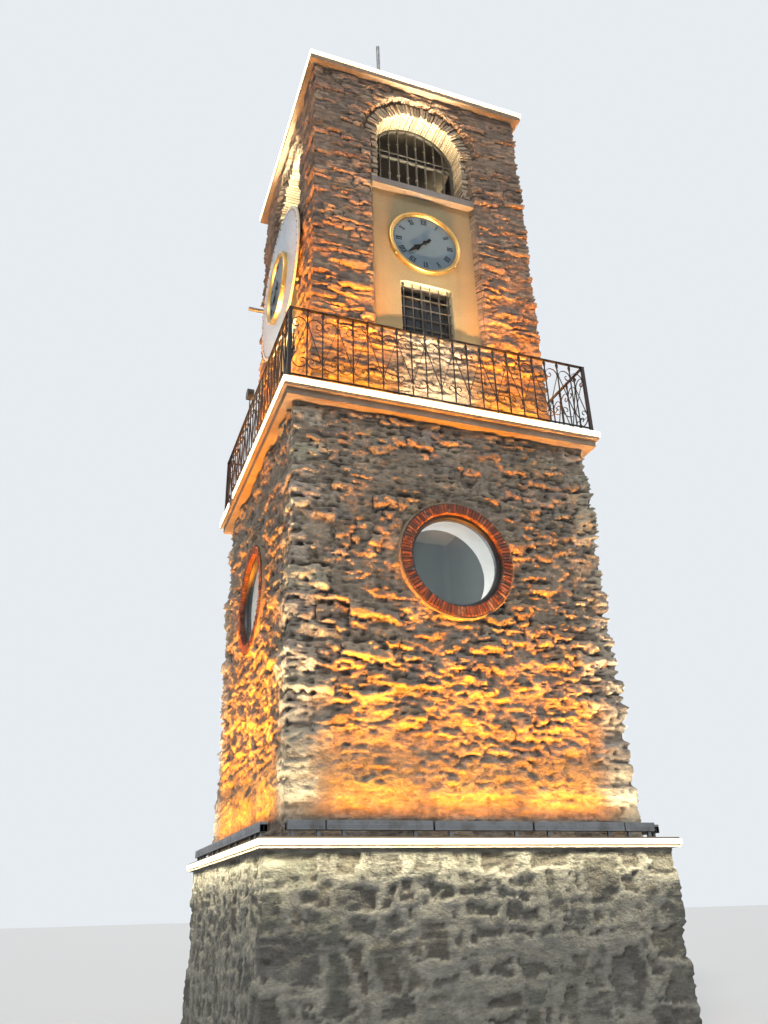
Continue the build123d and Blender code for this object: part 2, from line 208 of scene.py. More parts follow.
def quad_mesh(name, points, quads, material, tones=None, flat=None, replaces=()):
    """One smooth mesh from arrays of points and four-cornered faces. Those marked flat have sharp edges."""
    used, index = np.unique(quads, return_inverse=True)
    quads = index.reshape(quads.shape)
    mesh = bpy.data.meshes.new(name)
    mesh.vertices.add(len(used))
    mesh.vertices.foreach_set("co", points[used].astype(np.float32).ravel())
    mesh.loops.add(quads.size)
    mesh.loops.foreach_set("vertex_index", quads.astype(np.int32).ravel())
    mesh.polygons.add(len(quads))
    mesh.polygons.foreach_set("loop_start", np.arange(0, quads.size, 4, dtype=np.int32))
    mesh.update(calc_edges=True)
    paint_points(mesh, np.ones((len(used), 4)) if tones is None else tones[used])
    finish_piece(name, mesh, material, replaces, smooth=True)
    if flat is not None:
        mesh.polygons.foreach_set("use_smooth", ~flat)


def grid_quads(columns, rows):
    """Faces of one grid of points stored row by row."""
    i = np.arange(columns - 1)[None, :] + np.arange(rows - 1)[:, None] * columns
    return np.stack([i, i + 1, i + 1 + columns, i + columns], axis=-1).reshape(-1, 4)


# Materials
class Material:
    """A node material with short ways to add what this scene needs."""

    def __init__(self, name, roughness, metallic=0.0, color=(0.5, 0.5, 0.5)):
        self.material = bpy.data.materials.new(name)
        self.material.use_nodes = True
        self.tree = self.material.node_tree
        self.shader = self.tree.nodes["Principled BSDF"]
        self.place = self.node("ShaderNodeTexCoord").outputs["Object"]
        self.set("Base Color", color)
        self.set("Roughness", roughness)
        self.set("Metallic", metallic)

    def node(self, kind, **attributes):
        made = self.tree.nodes.new(kind)
        for key, value in attributes.items():
            setattr(made, key, value)
        return made

    def feed(self, socket, value):
        if isinstance(value, bpy.types.NodeSocket):
            self.tree.links.new(value, socket)
        elif isinstance(value, tuple) and len(value) == 3 and len(socket.default_value) == 4:
            socket.default_value = (*value, 1)
        else:
            socket.default_value = value

    def set(self, name, value):
        self.feed(self.shader.inputs[name], value)

    def fed(self, node, output, **values):
        """Feeds a node's sockets, given by name with _ for a space, and returns one of its outputs."""
        for name, value in values.items():
            self.feed(node.inputs[name.replace("_", " ")], value)
        return node.outputs[output]

    def stretched(self, x, y, z):
        return self.fed(self.node("ShaderNodeMapping"), "Vector", Vector=self.place, Scale=(x, y, z))

    def noise(self, scale, detail=4.0, rough=0.55, place=None):
        made = self.node("ShaderNodeTexNoise")
        return self.fed(made, "Fac", Vector=place or self.place, Scale=scale, Detail=detail, Roughness=rough)

    def cells(self, scale):
        return self.fed(self.node("ShaderNodeTexVoronoi"), "Distance", Vector=self.place, Scale=scale)

    def span(self, value, low, high, to_low=0.0, to_high=1.0):
        ends = {"From_Min": low, "From_Max": high, "To_Min": to_low, "To_Max": to_high}
        return self.fed(self.node("ShaderNodeMapRange"), "Result", Value=value, **ends)

    def mix(self, first, second, factor):
        made = self.node("ShaderNodeMix", data_type="RGBA")
        self.feed(made.inputs["Factor"], factor)
        self.feed(made.inputs[6], first)
        self.feed(made.inputs[7], second)
        return made.outputs[2]

    def shade(self, color, value):
        """Multiplies a colour by a number."""
        made = self.node("ShaderNodeVectorMath", operation="SCALE")
        self.feed(made.inputs[0], color)
        self.feed(made.inputs["Scale"], value)
        return made.outputs[0]

    def speckled(self, color, low, high, scale, detail=5, rough=0.6, place=None):
        """Spots in a colour, from low to high times its brightness."""
        return self.shade(color, self.varied(low, high, scale, detail, rough, place))

    def varied(self, low, high, scale, detail=5, rough=0.6, place=None):
        """A number that varies from low to high."""
        return self.span(self.noise(scale, detail, rough, place), 0.3, 0.7, low, high)

    def patched(self, color, other, low, high, share, scale, detail=6, rough=0.6, place=None):
        """Soft patches of another colour, which start at low and reach their full share at high."""
        return self.mix(color, other, self.span(self.noise(scale, detail, rough, place), low, high, 0, share))

    def tone(self):
        made = self.node("ShaderNodeAttribute", attribute_name="tone")
        return made.outputs["Color"], made.outputs["Alpha"]

    def bumps(self, *layers):
        """Each layer is a height, its strength and its depth in metres."""
        normal = None
        for height, strength, depth in layers:
            made = self.node("ShaderNodeBump")
            self.fed(made, "Normal", Strength=strength, Distance=depth, Height=height)
            if normal:
                self.feed(made.inputs["Normal"], normal)
            normal = made.outputs["Normal"]
        self.set("Normal", normal)


def stone_material(name, lichen, hollow_shade_color):
    m = Material(name, roughness=0.92)
    tone, light_openness = m.tone()
    mottled = m.speckled(tone, 0.72, 1.28, 11, 6)
    streaked = m.speckled(mottled, 0.82, 1.18, 6, place=m.stretched(1, 1, 5))
    weathered = m.patched(streaked, lichen, 0.52, 0.72, 0.4, 2.3, 7, 0.65)
    # Painted shade: hollows fade to the dark shade colour by their openness to light.
    m.set("Base Color", m.mix(hollow_shade_color, weathered, m.span(light_openness, 0.0, 0.60)))
    m.bumps(
        (m.noise(17, 8, 0.70, m.stretched(1, 1, 2.2)), 1.0, 0.030),
        (m.span(m.cells(26), 0.0, 0.6), 0.6, 0.010),
        (m.noise(60, 6, 0.66, m.stretched(1, 1, 1.5)), 0.6, 0.008),
    )
    return m.material


def mortar_material(name, color, light):
    m = Material(name, roughness=0.95)
    m.set("Base Color", m.speckled(m.patched(color, light, 0.35, 0.7, 1, 3.2), 0.75, 1.2, 38))
    m.bumps((m.noise(8, 8, 0.66), 0.7, 0.035), (m.noise(34, 6, 0.62), 0.55, 0.010))
    return m.material


def brick_material():
    dust, brick_hollow_shade = (0.50, 0.40, 0.31), (0.12, 0.08, 0.06)
    m = Material("brick_finish", roughness=0.9)
    tone, light_openness = m.tone()
    dusty = m.patched(m.speckled(tone, 0.74, 1.22, 24), dust, 0.54, 0.72, 0.45, 7, rough=0.65)
    # Painted shade in the hollows by openness to light; every brick's openness is 1, so none shows.
    m.set("Base Color", m.mix(brick_hollow_shade, dusty, m.span(light_openness, 0.0, 0.6)))
    m.bumps((m.noise(40, 6, 0.65), 0.5, 0.006), (m.noise(190, 3, 0.6), 0.4, 0.002))
    return m.material


def concrete_material(name, color, stain):
    m = Material(name, roughness=0.88)
    clouds = m.patched(color, stain, 0.38, 0.68, 0.75, 1.7, 7, 0.62)
    runs = m.patched(clouds, stain, 0.52, 0.72, 0.55, 5, 5, place=m.stretched(1, 1, 0.12))
    m.set("Base Color", m.speckled(runs, 0.84, 1.14, 45))
    m.bumps(
        (m.noise(7, 6, 0.6), 0.35, 0.012),
        (m.span(m.cells(30), 0.0, 0.25), 0.25, 0.004),
        (m.noise(140, 4, 0.6), 0.35, 0.002),
    )
    return m.material


def plaster_material(name, color, stain):
    m = Material(name, roughness=0.9)
    clouds = m.patched(color, stain, 0.42, 0.72, 0.6, 1.6)
    runs = m.patched(clouds, stain, 0.55, 0.75, 0.5, 6, 4, 0.55, m.stretched(1, 1, 0.1))
    m.set("Base Color", m.speckled(runs, 0.92, 1.07, 60, 4))
    m.bumps((m.noise(5, 5, 0.55), 0.3, 0.012), (m.noise(95, 4, 0.6), 0.3, 0.0016))
    return m.material


def iron_material():
    paint, dark_rust, light_rust = (0.016, 0.014, 0.014), (0.060, 0.026, 0.016), (0.105, 0.042, 0.022)
    m = Material("iron_finish", roughness=0.6, metallic=0.35)
    rust = m.patched(dark_rust, light_rust, 0.35, 0.65, 1, 70, 5)
    patches = m.span(m.noise(9, 7, 0.66), 0.53, 0.68)
    m.set("Base Color", m.mix(paint, rust, patches))
    m.set("Roughness", m.span(patches, 0, 1, 0.5, 0.85))
    m.bumps((m.noise(90, 6, 0.65), 0.35, 0.0015))
    return m.material


def coat_material(
    name, fresh, worn, patches, roughness, spots, bump, metallic=0.0, shine=0.5, brushed=False
):
    """Smooth finish with worn patches, spots of other roughness and a slight bump."""
    m = Material(name, roughness, metallic)
    m.set("Base Color", m.patched(fresh, worn, *patches))
    m.set("Roughness", m.varied(*spots, place=m.stretched(1, 1, 9) if brushed else None))
    m.set("Specular IOR Level", shine)
    scale, detail, rough, strength, depth = bump
    m.bumps((m.noise(scale, detail, rough), strength, depth))
    return m.material


def paint_material(name, color, worn, roughness=0.45, patches=(0.55, 0.75), shine=0.5):
    return coat_material(
        name, color, worn, (*patches, 1, 4, 7, 0.65), roughness, (roughness - 0.1, roughness + 0.15, 22, 5),
        (50, 4, 0.6, 0.12, 0.001), shine=shine,
    )


def glass_material(name, color, dusty, alpha):
    m = Material(name, roughness=0.06, color=color)
    m.set("Roughness", m.varied(0.03, 0.12, 5))
    m.set("Base Color", m.mix(color, dusty, m.noise(3, 5, 0.6)))
    m.set("Alpha", alpha)
    m.bumps((m.noise(1.5, 3), 0.05, 0.004))
    return m.material


def light_material(name, color, strength):
    m = Material(name, roughness=0.4, color=color)
    m.set("Base Color", m.mix(color, tuple(c * 0.92 for c in color), m.noise(30, 3)))
    m.set("Emission Color", color)
    m.set("Emission Strength", strength)
    return m.material


# The last colour of each stone finish is the painted shade in its hollows.
LOWER_STONE = stone_material("lower_stone_finish", (0.42, 0.36, 0.28), (0.035, 0.026, 0.020))
UPPER_STONE = stone_material("upper_stone_finish", (0.40, 0.30, 0.22), (0.035, 0.022, 0.016))
BASE_STONE = stone_material("base_stone_finish", (0.34, 0.33, 0.28), (0.10, 0.09, 0.075))
# Mortar darkened to near black: painted shade of the recessed joints of the brick rings and the arches.
SHADED_JOINT_MORTAR = mortar_material("shaded_joint_mortar_finish", (0.045, 0.034, 0.025), (0.080, 0.062, 0.046))
UPPER_MORTAR = mortar_material("upper_mortar_finish", (0.100, 0.072, 0.052), (0.21, 0.150, 0.105))
BASE_MORTAR = mortar_material("base_mortar_finish", (0.20, 0.195, 0.165), (0.32, 0.31, 0.265))
RIM_MORTAR = mortar_material("rim_mortar_finish", (0.150, 0.115, 0.080), (0.235, 0.182, 0.128))
BRICK = brick_material()
CONCRETE = concrete_material("concrete_finish", (0.200, 0.162, 0.120), (0.095, 0.075, 0.056))
SILL_STONE = concrete_material("sill_finish", (0.155, 0.158, 0.165), (0.095, 0.092, 0.090))
PLASTER = plaster_material("plaster_finish", (0.235, 0.188, 0.105), (0.165, 0.122, 0.066))
WHITE_PLASTER = plaster_material("reveal_finish", (0.86, 0.85, 0.80), (0.66, 0.62, 0.55))
LINING_PLASTER = plaster_material("lining_finish", (0.34, 0.29, 0.21), (0.25, 0.21, 0.15))
# Room plaster darkened to near black: painted shade of the dark room behind the round windows.
ROOM_SHADE_PLASTER = plaster_material("room_shade_finish", (0.046, 0.054, 0.049), (0.034, 0.039, 0.035))
IRON = iron_material()
STEEL = coat_material(
    "pole_finish", (0.25, 0.25, 0.26), (0.13, 0.115, 0.10), (0.45, 0.68, 1, 5, 7, 0.65),
    0.5, (0.35, 0.65, 30, 4, 0.55), (80, 5, 0.55, 0.15, 0.001), metallic=0.7,
)
GOLD = coat_material(
    "gold_finish", (0.56, 0.37, 0.135), (0.37, 0.225, 0.080), (0.45, 0.75, 1, 6),
    0.4, (0.34, 0.52, 26), (70, 4, 0.55, 0.06, 0.001), metallic=1.0,
)
ALUMINIUM = coat_material(
    "aluminium_finish", (0.20, 0.21, 0.22), (0.11, 0.105, 0.10), (0.45, 0.7, 1, 7, 6, 0.65),
    0.42, (0.32, 0.55, 9, 4), (60, 4, 0.55, 0.1, 0.001), metallic=0.75, brushed=True,
)
ENAMEL = coat_material(
    "dial_finish", (0.100, 0.140, 0.172), (0.080, 0.112, 0.138), (0.35, 0.7, 1, 3),
    0.45, (0.38, 0.55, 18), (35, 3, 0.55, 0.03, 0.0006),
)
GLASS = glass_material("glass_finish", (0.14, 0.17, 0.18), (0.22, 0.25, 0.26), 0.22)
DARK_GLASS = glass_material("dark_glass_finish", (0.012, 0.013, 0.015), (0.035, 0.036, 0.038), 0.85)
FRAME_PAINT = paint_material("frame_finish", (0.016, 0.015, 0.015), (0.045, 0.038, 0.032))
HAND_PAINT = paint_material("hand_finish", (0.006, 0.006, 0.007), (0.012, 0.011, 0.010), 0.65, shine=0.12)
BAR_PAINT = paint_material("bar_finish", (0.070, 0.062, 0.054), (0.060, 0.036, 0.026), 0.6)
LAMP_PAINT = paint_material("lamp_finish", (0.018, 0.018, 0.019), (0.07, 0.06, 0.05))
DISC_PAINT = paint_material("disc_finish", (0.33, 0.38, 0.435), (0.30, 0.285, 0.29), 0.4, (0.40, 0.75))
RIM_PAINT = paint_material("disc_rim_finish", (0.60, 0.55, 0.44), (0.44, 0.38, 0.28))
STRIP_LIGHT = light_material("strip_glow", (1.0, 0.86, 0.60), 1.5)
AMBER_LIGHT = light_material("amber_glow", (1.0, 0.32, 0.015), 80.0)
WHITE_LIGHT = light_material("white_glow", (1.0, 0.86, 0.58), 30.0)
BELFRY_LIGHT = light_material("belfry_glow", (1.0, 0.86, 0.58), 4.0)

NODE_FINISH = {
    "base_masonry": BASE_MORTAR, "base_ledge": CONCRETE, "balcony_slab": CONCRETE, "roof_slab": CONCRETE,
    "belfry_floor": CONCRETE, "belfry_sills": SILL_STONE, "belfry_grilles": BAR_PAINT,
    "window_frames": FRAME_PAINT, "window_glass": DARK_GLASS, "oculus_frames": FRAME_PAINT,
    "oculus_glass": GLASS, "oculus_brick_rings": SHADED_JOINT_MORTAR, "clock_cases": GOLD, "clock_dials": ENAMEL,
    "left_clock_disc": DISC_PAINT, "left_pipe_stub": STEEL, "rail_floodlight": LAMP_PAINT,
    "wall_washers": ALUMINIUM, "balcony_washers": ALUMINIUM, "belfry_lamps": ALUMINIUM, "roof_pole": STEEL,
    "ledge_light_strip": STRIP_LIGHT, "balcony_light_strip": STRIP_LIGHT, "roof_light_strip": STRIP_LIGHT,
}
SIDE_FINISH = {
    "lower_wall": ROOM_SHADE_PLASTER, "upper_wall": UPPER_MORTAR, "belfry_arch": SHADED_JOINT_MORTAR,
    "railing": IRON, "hour_hand": HAND_PAINT, "minute_hand": HAND_PAINT,
}
for side, (part, finish) in itertools.product(SIDES, SIDE_FINISH.items()):
    NODE_FINISH[f"{side}_{part}"] = finish
for node, finish in NODE_FINISH.items():
    for material_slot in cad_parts[node].material_slots:
        material_slot.material = finish


# Openings that stones and mortar keep clear of
def keep_off_oculus(s, v, radius):
    """Moves points out of the round window. Returns the places and which ones were inside."""
    reach = np.hypot(s, v - OCULUS_Z)
    inside = reach < radius
    grow = np.where(inside, radius / np.maximum(reach, 1e-6), 1.0)
    return s * grow, OCULUS_Z + (v - OCULUS_Z) * grow, inside


def facing_cut(angle):
    """Distance from the arch's centre to the broken edge of the stone facing over it."""
    side_angle = math.pi / CUT_SIDES
    turn = np.mod(angle, side_angle) - side_angle / 2
    straight = CUT_RADIUS * math.cos(side_angle / 2) / np.cos(turn)
    return straight + 0.012 * np.sin(angle * 37) + 0.009 * np.sin(angle * 83 + 1)


def keep_off_panel(s, v, further):
    """Moves points out of the plastered panel and the arch over it."""
    reach = np.hypot(s, v - SPRING_Z)
    radius = facing_cut(np.arctan2(v - SPRING_Z, s)) + further
    in_arch = (v > SPRING_Z) & (reach < radius)
    edge = PANEL_HALF - 0.002
    in_panel = (v <= SPRING_Z) & (np.abs(s) < edge) & (v > WINDOW_FOOT)
    grow = np.where(in_arch, radius / np.maximum(reach, 1e-6), 1.0)
    sideways = in_panel & (edge - np.abs(s) <= v - WINDOW_FOOT)
    downward = in_panel & ~sideways
    new_s = np.where(sideways, np.sign(s) * edge, s * grow)
    new_v = np.where(downward, WINDOW_FOOT, SPRING_Z + (v - SPRING_Z) * grow)
    return new_s, new_v, in_arch | in_panel


def move_clear(u, v, half, keep_off, clear):
    """Moves places round a shaft out of each side's opening. Returns them and which ones were inside."""
    k, s = split_round(u, half)
    new_s, new_v, moved = keep_off(s, v, clear)
    return np.where(moved, (2 * k + 1) * half + new_s, u), np.where(moved, new_v, v), moved


# Rubble: stones laid in bands round a square shaft, worked out as one uneven surface
RASTER = 0.008
WORN_REACH = 9
JUST_SHORT = 1e-7
FLAT_LIE = np.array([1, 1, 2.4])
FADE_HEIGHT = 0.15
OUTLINE_SHARE = 1.4
CRAG_STEPS = 2.2
DIG_WIDTH = 0.04
MORTAR_CRAG = 0.35
JOINT_WIDTH = 0.008
EVEN_LIGHT_OPENNESS = 0.62
BLUR_TIMES = 10


def cut(rng, length, low, high):
    """Edges that divide a length into uneven pieces between about low and high."""
    sizes = []
    while sum(sizes) < length:
        sizes.append(rng.uniform(low, high))
    if len(sizes) > 1 and sum(sizes) - length > sizes[-1] * 0.6:
        sizes.pop()
    edges = np.concatenate([[0], np.cumsum(sizes)])
    return edges * (length / edges[-1])


def lay_rows(rng, shaft, low, high, corner):
    """Stones of one band on one side: panels, courses in each, and stones in each course."""
    for p_left, p_right in itertools.pairwise(corner + cut(rng, 2 * shaft["half"], *shaft["panel"])):
        for q_low, q_high in itertools.pairwise(low + cut(rng, high - low, *shaft["course"])):
            row_left = p_left - rng.uniform(-0.02, 0.09)
            row_right = p_right + rng.uniform(-0.02, 0.09)
            edges = row_left + cut(rng, row_right - row_left, *shaft["length"])
            for left, right in itertools.pairwise(edges):
                yield left, right, q_low, q_high, 0


def lay_stones(rng, shaft):
    """Stones as rows of (left, right, foot, head, corner). A later stone lies over an earlier one."""
    half, foot, head = shaft["half"], shaft["foot"], shaft["head"]
    stones = []
    for low, high in itertools.pairwise(foot + cut(rng, head - foot, *shaft["band"])):
        for k in range(4):
            stones += lay_rows(rng, shaft, low, high, 2 * k * half)
    for _ in range(round(shaft["tall_share"] * 8 * half * (head - foot))):
        left, low = rng.uniform(0, 8 * half), rng.uniform(foot, head)
        width = rng.uniform(*shaft["length"]) * 0.8
        height = rng.uniform(1.1, 1.9) * shaft["course"][1]
        stones.append((left, left + width, low, min(low + height, head), 0))
    for k in range(4):
        for n, (low, high) in enumerate(itertools.pairwise(foot + cut(rng, head - foot, *shaft["quoin"]))):
            arms = [rng.uniform(*shaft["short_arm"]), rng.uniform(*shaft["long_arm"])]
            before, after = arms if (n + k) % 2 else arms[::-1]
            stones.append((2 * k * half - before, 2 * k * half + after, low, high, 1))
    return np.array(stones)


def stone_numbers(stones, half, foot, head):
    """Raster of the number of the stone that lies at each place, with the later stones on top."""
    columns = round(8 * half / RASTER)
    rows = math.ceil((head - foot) / RASTER)
    numbers = np.full((rows, columns), -1)
    for number, (left, right, low, high) in enumerate(stones[:, :4]):
        across = np.arange(round(left / RASTER), round(right / RASTER)) % columns
        numbers[round((low - foot) / RASTER):round((high - foot) / RASTER), across] = number
    return numbers


def edge_distance(numbers):
    """Distance of each place in the raster from the edge of the stone that shows there."""
    padded = np.pad(numbers, ((1, 1), (0, 0)), mode="edge")
    edge = (padded[:-2] != numbers) | (padded[2:] != numbers)
    for shift in (-1, 1):
        edge |= np.roll(numbers, shift, axis=1) != numbers
    distance = np.where(edge, RASTER / 2, WORN_REACH * RASTER)
    for _ in range(WORN_REACH):
        near = distance.copy()
        padded = np.pad(distance, ((1, 1), (0, 0)), mode="edge")
        for rise, shift in itertools.product((0, 1, 2), (-1, 0, 1)):
            row = np.roll(padded[rise:rise + numbers.shape[0]], shift, axis=1)
            near = np.minimum(near, row + RASTER * math.hypot(rise - 1, shift))
        distance = near
    return distance


def sample(grid, row, column):
    """Values of a raster between its places; its columns close on themselves."""
    row = np.clip(row - 0.5, 0, grid.shape[0] - 1.001)
    column = np.mod(column - 0.5, grid.shape[1])
    r, c = np.floor(row).astype(int), np.floor(column).astype(int)
    up, right = row - r, column - c
    c, c_next = np.mod(c, grid.shape[1]), np.mod(c + 1, grid.shape[1])
    low = grid[r, c] * (1 - right) + grid[r, c_next] * right
    high = grid[r + 1, c] * (1 - right) + grid[r + 1, c_next] * right
    return low * (1 - up) + high * up


def soften(values, times):
    """Blurs a grid of heights that closes on itself from side to side."""
    ring = values[:, :-1]
    for _ in range(times):
        ring = (np.roll(ring, 1, axis=1) + 2 * ring + np.roll(ring, -1, axis=1)) / 4
        padded = np.pad(ring, ((1, 1), (0, 0)), mode="edge")
        ring = (padded[:-2] + 2 * padded[1:-1] + padded[2:]) / 4
    return np.concatenate([ring, ring[:, :1]], axis=1)


def rubble_surface(shaft):
    """Grid of places round a shaft with its height out from the face, tone and openness to light, from which
    the hollows get painted shade.
    """
    seed, half, foot, head = shaft["seed"], shaft["half"], shaft["foot"], shaft["head"]
    rng = np.random.default_rng(seed)
    stones = lay_stones(rng, shaft)
    numbers = stone_numbers(stones, half, foot, head)
    column_step, row_step = shaft["step"]
    u, v = np.meshgrid(
        np.linspace(0, 8 * half, 4 * round(2 * half / column_step) + 1),
        np.linspace(foot, head, round((head - foot) / row_step) + 1),
    )
    place = wrap(u, v, np.zeros_like(u), half)
    flat_place = place * FLAT_LIE

    # Wavy beds and broken outlines, which fade out at the foot and the head
    large, small = shaft["warp"]
    fade = smooth_step((v - foot) / FADE_HEIGHT) * smooth_step((head - v) / FADE_HEIGHT)
    rough = noise(flat_place, 5, seed + 3) + 0.6 * noise(place, 14, seed + 4)
    rough = rough + 0.3 * noise(place, 31, seed + 5)
    warped_v = v + fade * (large * waves(place, seed + 1, (1, 0.8), (0.6, 2.7)) + small * rough)
    warped_u = u + OUTLINE_SHARE * small * waves(place, seed + 6, (1, 4), (0.6, 12), (0.3, 29))
    row = np.clip(((warped_v - foot) / RASTER).astype(int), 0, numbers.shape[0] - 1)
    column = np.mod(np.floor(warped_u / RASTER).astype(int), numbers.shape[1])
    number = numbers[row, column]
    left, right, low, high = [values[number] for values in stones.T[:4]]
    from_left = np.mod(warped_u - left + 0.05, 8 * half) - 0.05
    across = 2 * from_left / (right - left) - 1
    upward = 2 * (warped_v - low) / (high - low) - 1
    inside = sample(edge_distance(numbers), (warped_v - foot) / RASTER, warped_u / RASTER)

    # Stones: each on its own level, with broken planes, ridges and a worn edge
    count = len(stones)
    level = rng.uniform(*shaft["level"], count)
    level = np.where(rng.uniform(0, 1, count) < shaft["missing"], shaft["mortar"][0], level)
    slopes = rng.normal(0, shaft["slope"], (2, 3, count))
    planes = [slopes[0, i][number] * across + slopes[1, i][number] * upward for i in range(3)]
    crags = 0.45 * ridge(flat_place, 5.5, seed + 9) + 0.42 * ridge(flat_place, 12, seed + 10)
    crags = crags + 0.25 * noise(flat_place, 27, seed + 11)
    stepped = np.round(crags * CRAG_STEPS) / CRAG_STEPS
    width, drop = shaft["edge"]
    worn = drop * (1 - smooth_step(inside / width))
    relief = shaft.get("weather", np.ones_like)(v)
    broken = shaft["crag"] * (0.5 * crags + 0.5 * stepped)
    stone = relief * (level[number] + np.min(planes, axis=0) - worn + broken)

    # Mortar: smeared over the joints, deeper in the hollows
    bed, swell = shaft["mortar"]
    margin, dig = shaft["smear"]
    margin = margin * (1 + 1.1 * noise(place, 3.5, seed + 14))
    mortar = bed + swell * waves(place, seed + 12, (0.9, 2.4), (0.7, 8))
    mortar = mortar - dig * smooth_step((inside - margin) / DIG_WIDTH)
    mortar = mortar * relief + MORTAR_CRAG * shaft["crag"] * (0.35 + 0.65 * relief) * crags
    bare = number < 0
    shown = np.where(bare, 0.0, smooth_step((stone - mortar) / JOINT_WIDTH + 0.4))
    h = np.maximum(mortar, np.where(bare, -1, stone))

    # Tones: one a stone, and mortar between two colours
    quoin_tones, stone_tones = [
        np.array(shaft[key])[rng.integers(0, len(shaft[key]), count)] for key in ("quoin_tones", "tones")
    ]
    colors = np.where(stones[:, 4:] > 0, quoin_tones, stone_tones)
    colors = colors * rng.uniform(0.84, 1.16, (count, 1)) * rng.uniform(0.97, 1.03, (count, 3))
    share = (0.5 + 0.5 * noise(place, 1.9, seed + 15))[..., None]
    dark, light = np.array(shaft["mortar_tones"])
    mortar_color = dark * (1 - share) + light * share
    tones = np.empty((*u.shape, 4))
    tones[..., :3] = mortar_color + (colors[number] - mortar_color) * shown[..., None]
    # Fourth number: painted shade, lower where a place lies below its blurred surroundings, in the hollows.
    tones[..., 3] = np.clip(EVEN_LIGHT_OPENNESS + (h - soften(h, BLUR_TIMES)) / shaft["hollow"], 0, 1)
    return u, v, h, tones


def build_rubble(shaft, names, material, replaces=()):
    """Stonework round a shaft, as one mesh or one a side, cut back round its openings."""
    half = shaft["half"]
    u, v, h, tones = rubble_surface(shaft)
    rows, columns = u.shape
    quads = grid_quads(columns, rows)
    side_of = np.tile(np.arange(columns - 1) // ((columns - 1) // 4), rows - 1)
    flat = np.zeros(len(quads), bool)
    if "keep_off" in shaft:
        u, v, moved = move_clear(u, v, half, shaft["keep_off"], shaft["clear"])
        h = np.where(moved, -shaft["skirt"], h)
        corners_moved = moved.ravel()[quads]
        kept = ~corners_moved.all(axis=1)
        quads, side_of, flat = quads[kept], side_of[kept], corners_moved.any(axis=1)[kept]
    u[:, -1] = 8 * half - JUST_SHORT
    points = wrap(u, v, h, half).reshape(-1, 3)
    for number, name in enumerate(names):
        mine = side_of == number if len(names) > 1 else side_of >= 0
        stood_for = replaces[number:number + 1]
        quad_mesh(name, points, quads[mine], material, tones.reshape(-1, 4), flat[mine], stood_for)


def build_lower_room_walls():
    """Even plaster round the inside of the lower shaft, darkened to near black as painted shade of the dark
    room behind the round windows.
    """
    step, depth, seed = 0.10, 0.002, 13
    columns = np.linspace(0, 8 * LOWER_INNER, 4 * round(2 * LOWER_INNER / step) + 1)
    rows = np.linspace(LEDGE_TOP, BALCONY_FOOT, round((BALCONY_FOOT - LEDGE_TOP) / step) + 1)
    u, v = np.meshgrid(columns, rows)
    h = depth * (0.5 + 0.5 * noise(wrap(u, v, np.zeros_like(u), LOWER_INNER), 3.1, seed))
    u, v, moved = move_clear(u, v, LOWER_INNER, keep_off_oculus, RING_OUTER - 0.001)
    u[:, -1] = 8 * LOWER_INNER - JUST_SHORT
    quads = grid_quads(len(columns), len(rows))
    quads = quads[~moved.ravel()[quads].all(axis=1)]
    points = wrap(u, v, h, LOWER_INNER).reshape(-1, 3)
    quad_mesh("lower_room_walls", points, quads, ROOM_SHADE_PLASTER)


def build_base_underside():
    """Closes the plinth from below."""
    half = BASE_HALF - 0.030
    points = np.array([(-half, -half, 0.0), (-half, half, 0.0), (half, half, 0.0), (half, -half, 0.0)])
    quad_mesh("base_underside", points, np.array([[0, 1, 2, 3]]), BASE_STONE)


def lower_weather(v):
    """Relief of the lower shaft: little at its foot, where mortar is smeared over it, and full above."""
    return 0.44 + 0.56 * smooth_step((v - LEDGE_TOP - 0.30) / 0.9)


# The shafts: lengths in metres, tall_share in stones a square metre, missing as a share of the stones, hollow
# as the depth in metres that sets how dark the painted shade in the hollows gets
LOWER_SHAFT = {
    "seed": 11, "half": LOWER_HALF, "foot": LEDGE_TOP, "head": BALCONY_FOOT, "step": (0.021, 0.0175),
    "band": (0.22, 0.40), "panel": (0.5, 1.4), "course": (0.06, 0.17), "length": (0.14, 0.50),
    "tall_share": 0.9, "quoin": (0.16, 0.34), "short_arm": (0.14, 0.26), "long_arm": (0.28, 0.50),
    "warp": (0.034, 0.044), "level": (-0.024, 0.020), "missing": 0.20, "slope": 0.013,
    "edge": (0.036, 0.024), "crag": 0.038, "mortar": (-0.026, 0.020), "smear": (0.0, 0.010), "hollow": 0.032,
    "weather": lower_weather, "keep_off": keep_off_oculus, "clear": RING_OUTER + 0.004, "skirt": 0.03,
    "tones": [
        (0.252, 0.197, 0.143), (0.214, 0.172, 0.130), (0.281, 0.220, 0.155), (0.189, 0.160, 0.128),
        (0.239, 0.181, 0.122), (0.227, 0.197, 0.164), (0.294, 0.235, 0.168), (0.172, 0.144, 0.116),
        (0.260, 0.189, 0.122), (0.202, 0.178, 0.150),
    ],
    "quoin_tones": [
        (0.320, 0.280, 0.218), (0.285, 0.254, 0.203), (0.350, 0.304, 0.230), (0.262, 0.228, 0.184),
    ],
    "mortar_tones": [(0.188, 0.150, 0.112), (0.262, 0.214, 0.158)],
}
UPPER_TONES = [
    (0.244, 0.164, 0.113), (0.206, 0.139, 0.099), (0.277, 0.189, 0.126), (0.172, 0.124, 0.094),
    (0.252, 0.160, 0.101), (0.223, 0.160, 0.122), (0.290, 0.206, 0.139), (0.160, 0.118, 0.094),
]
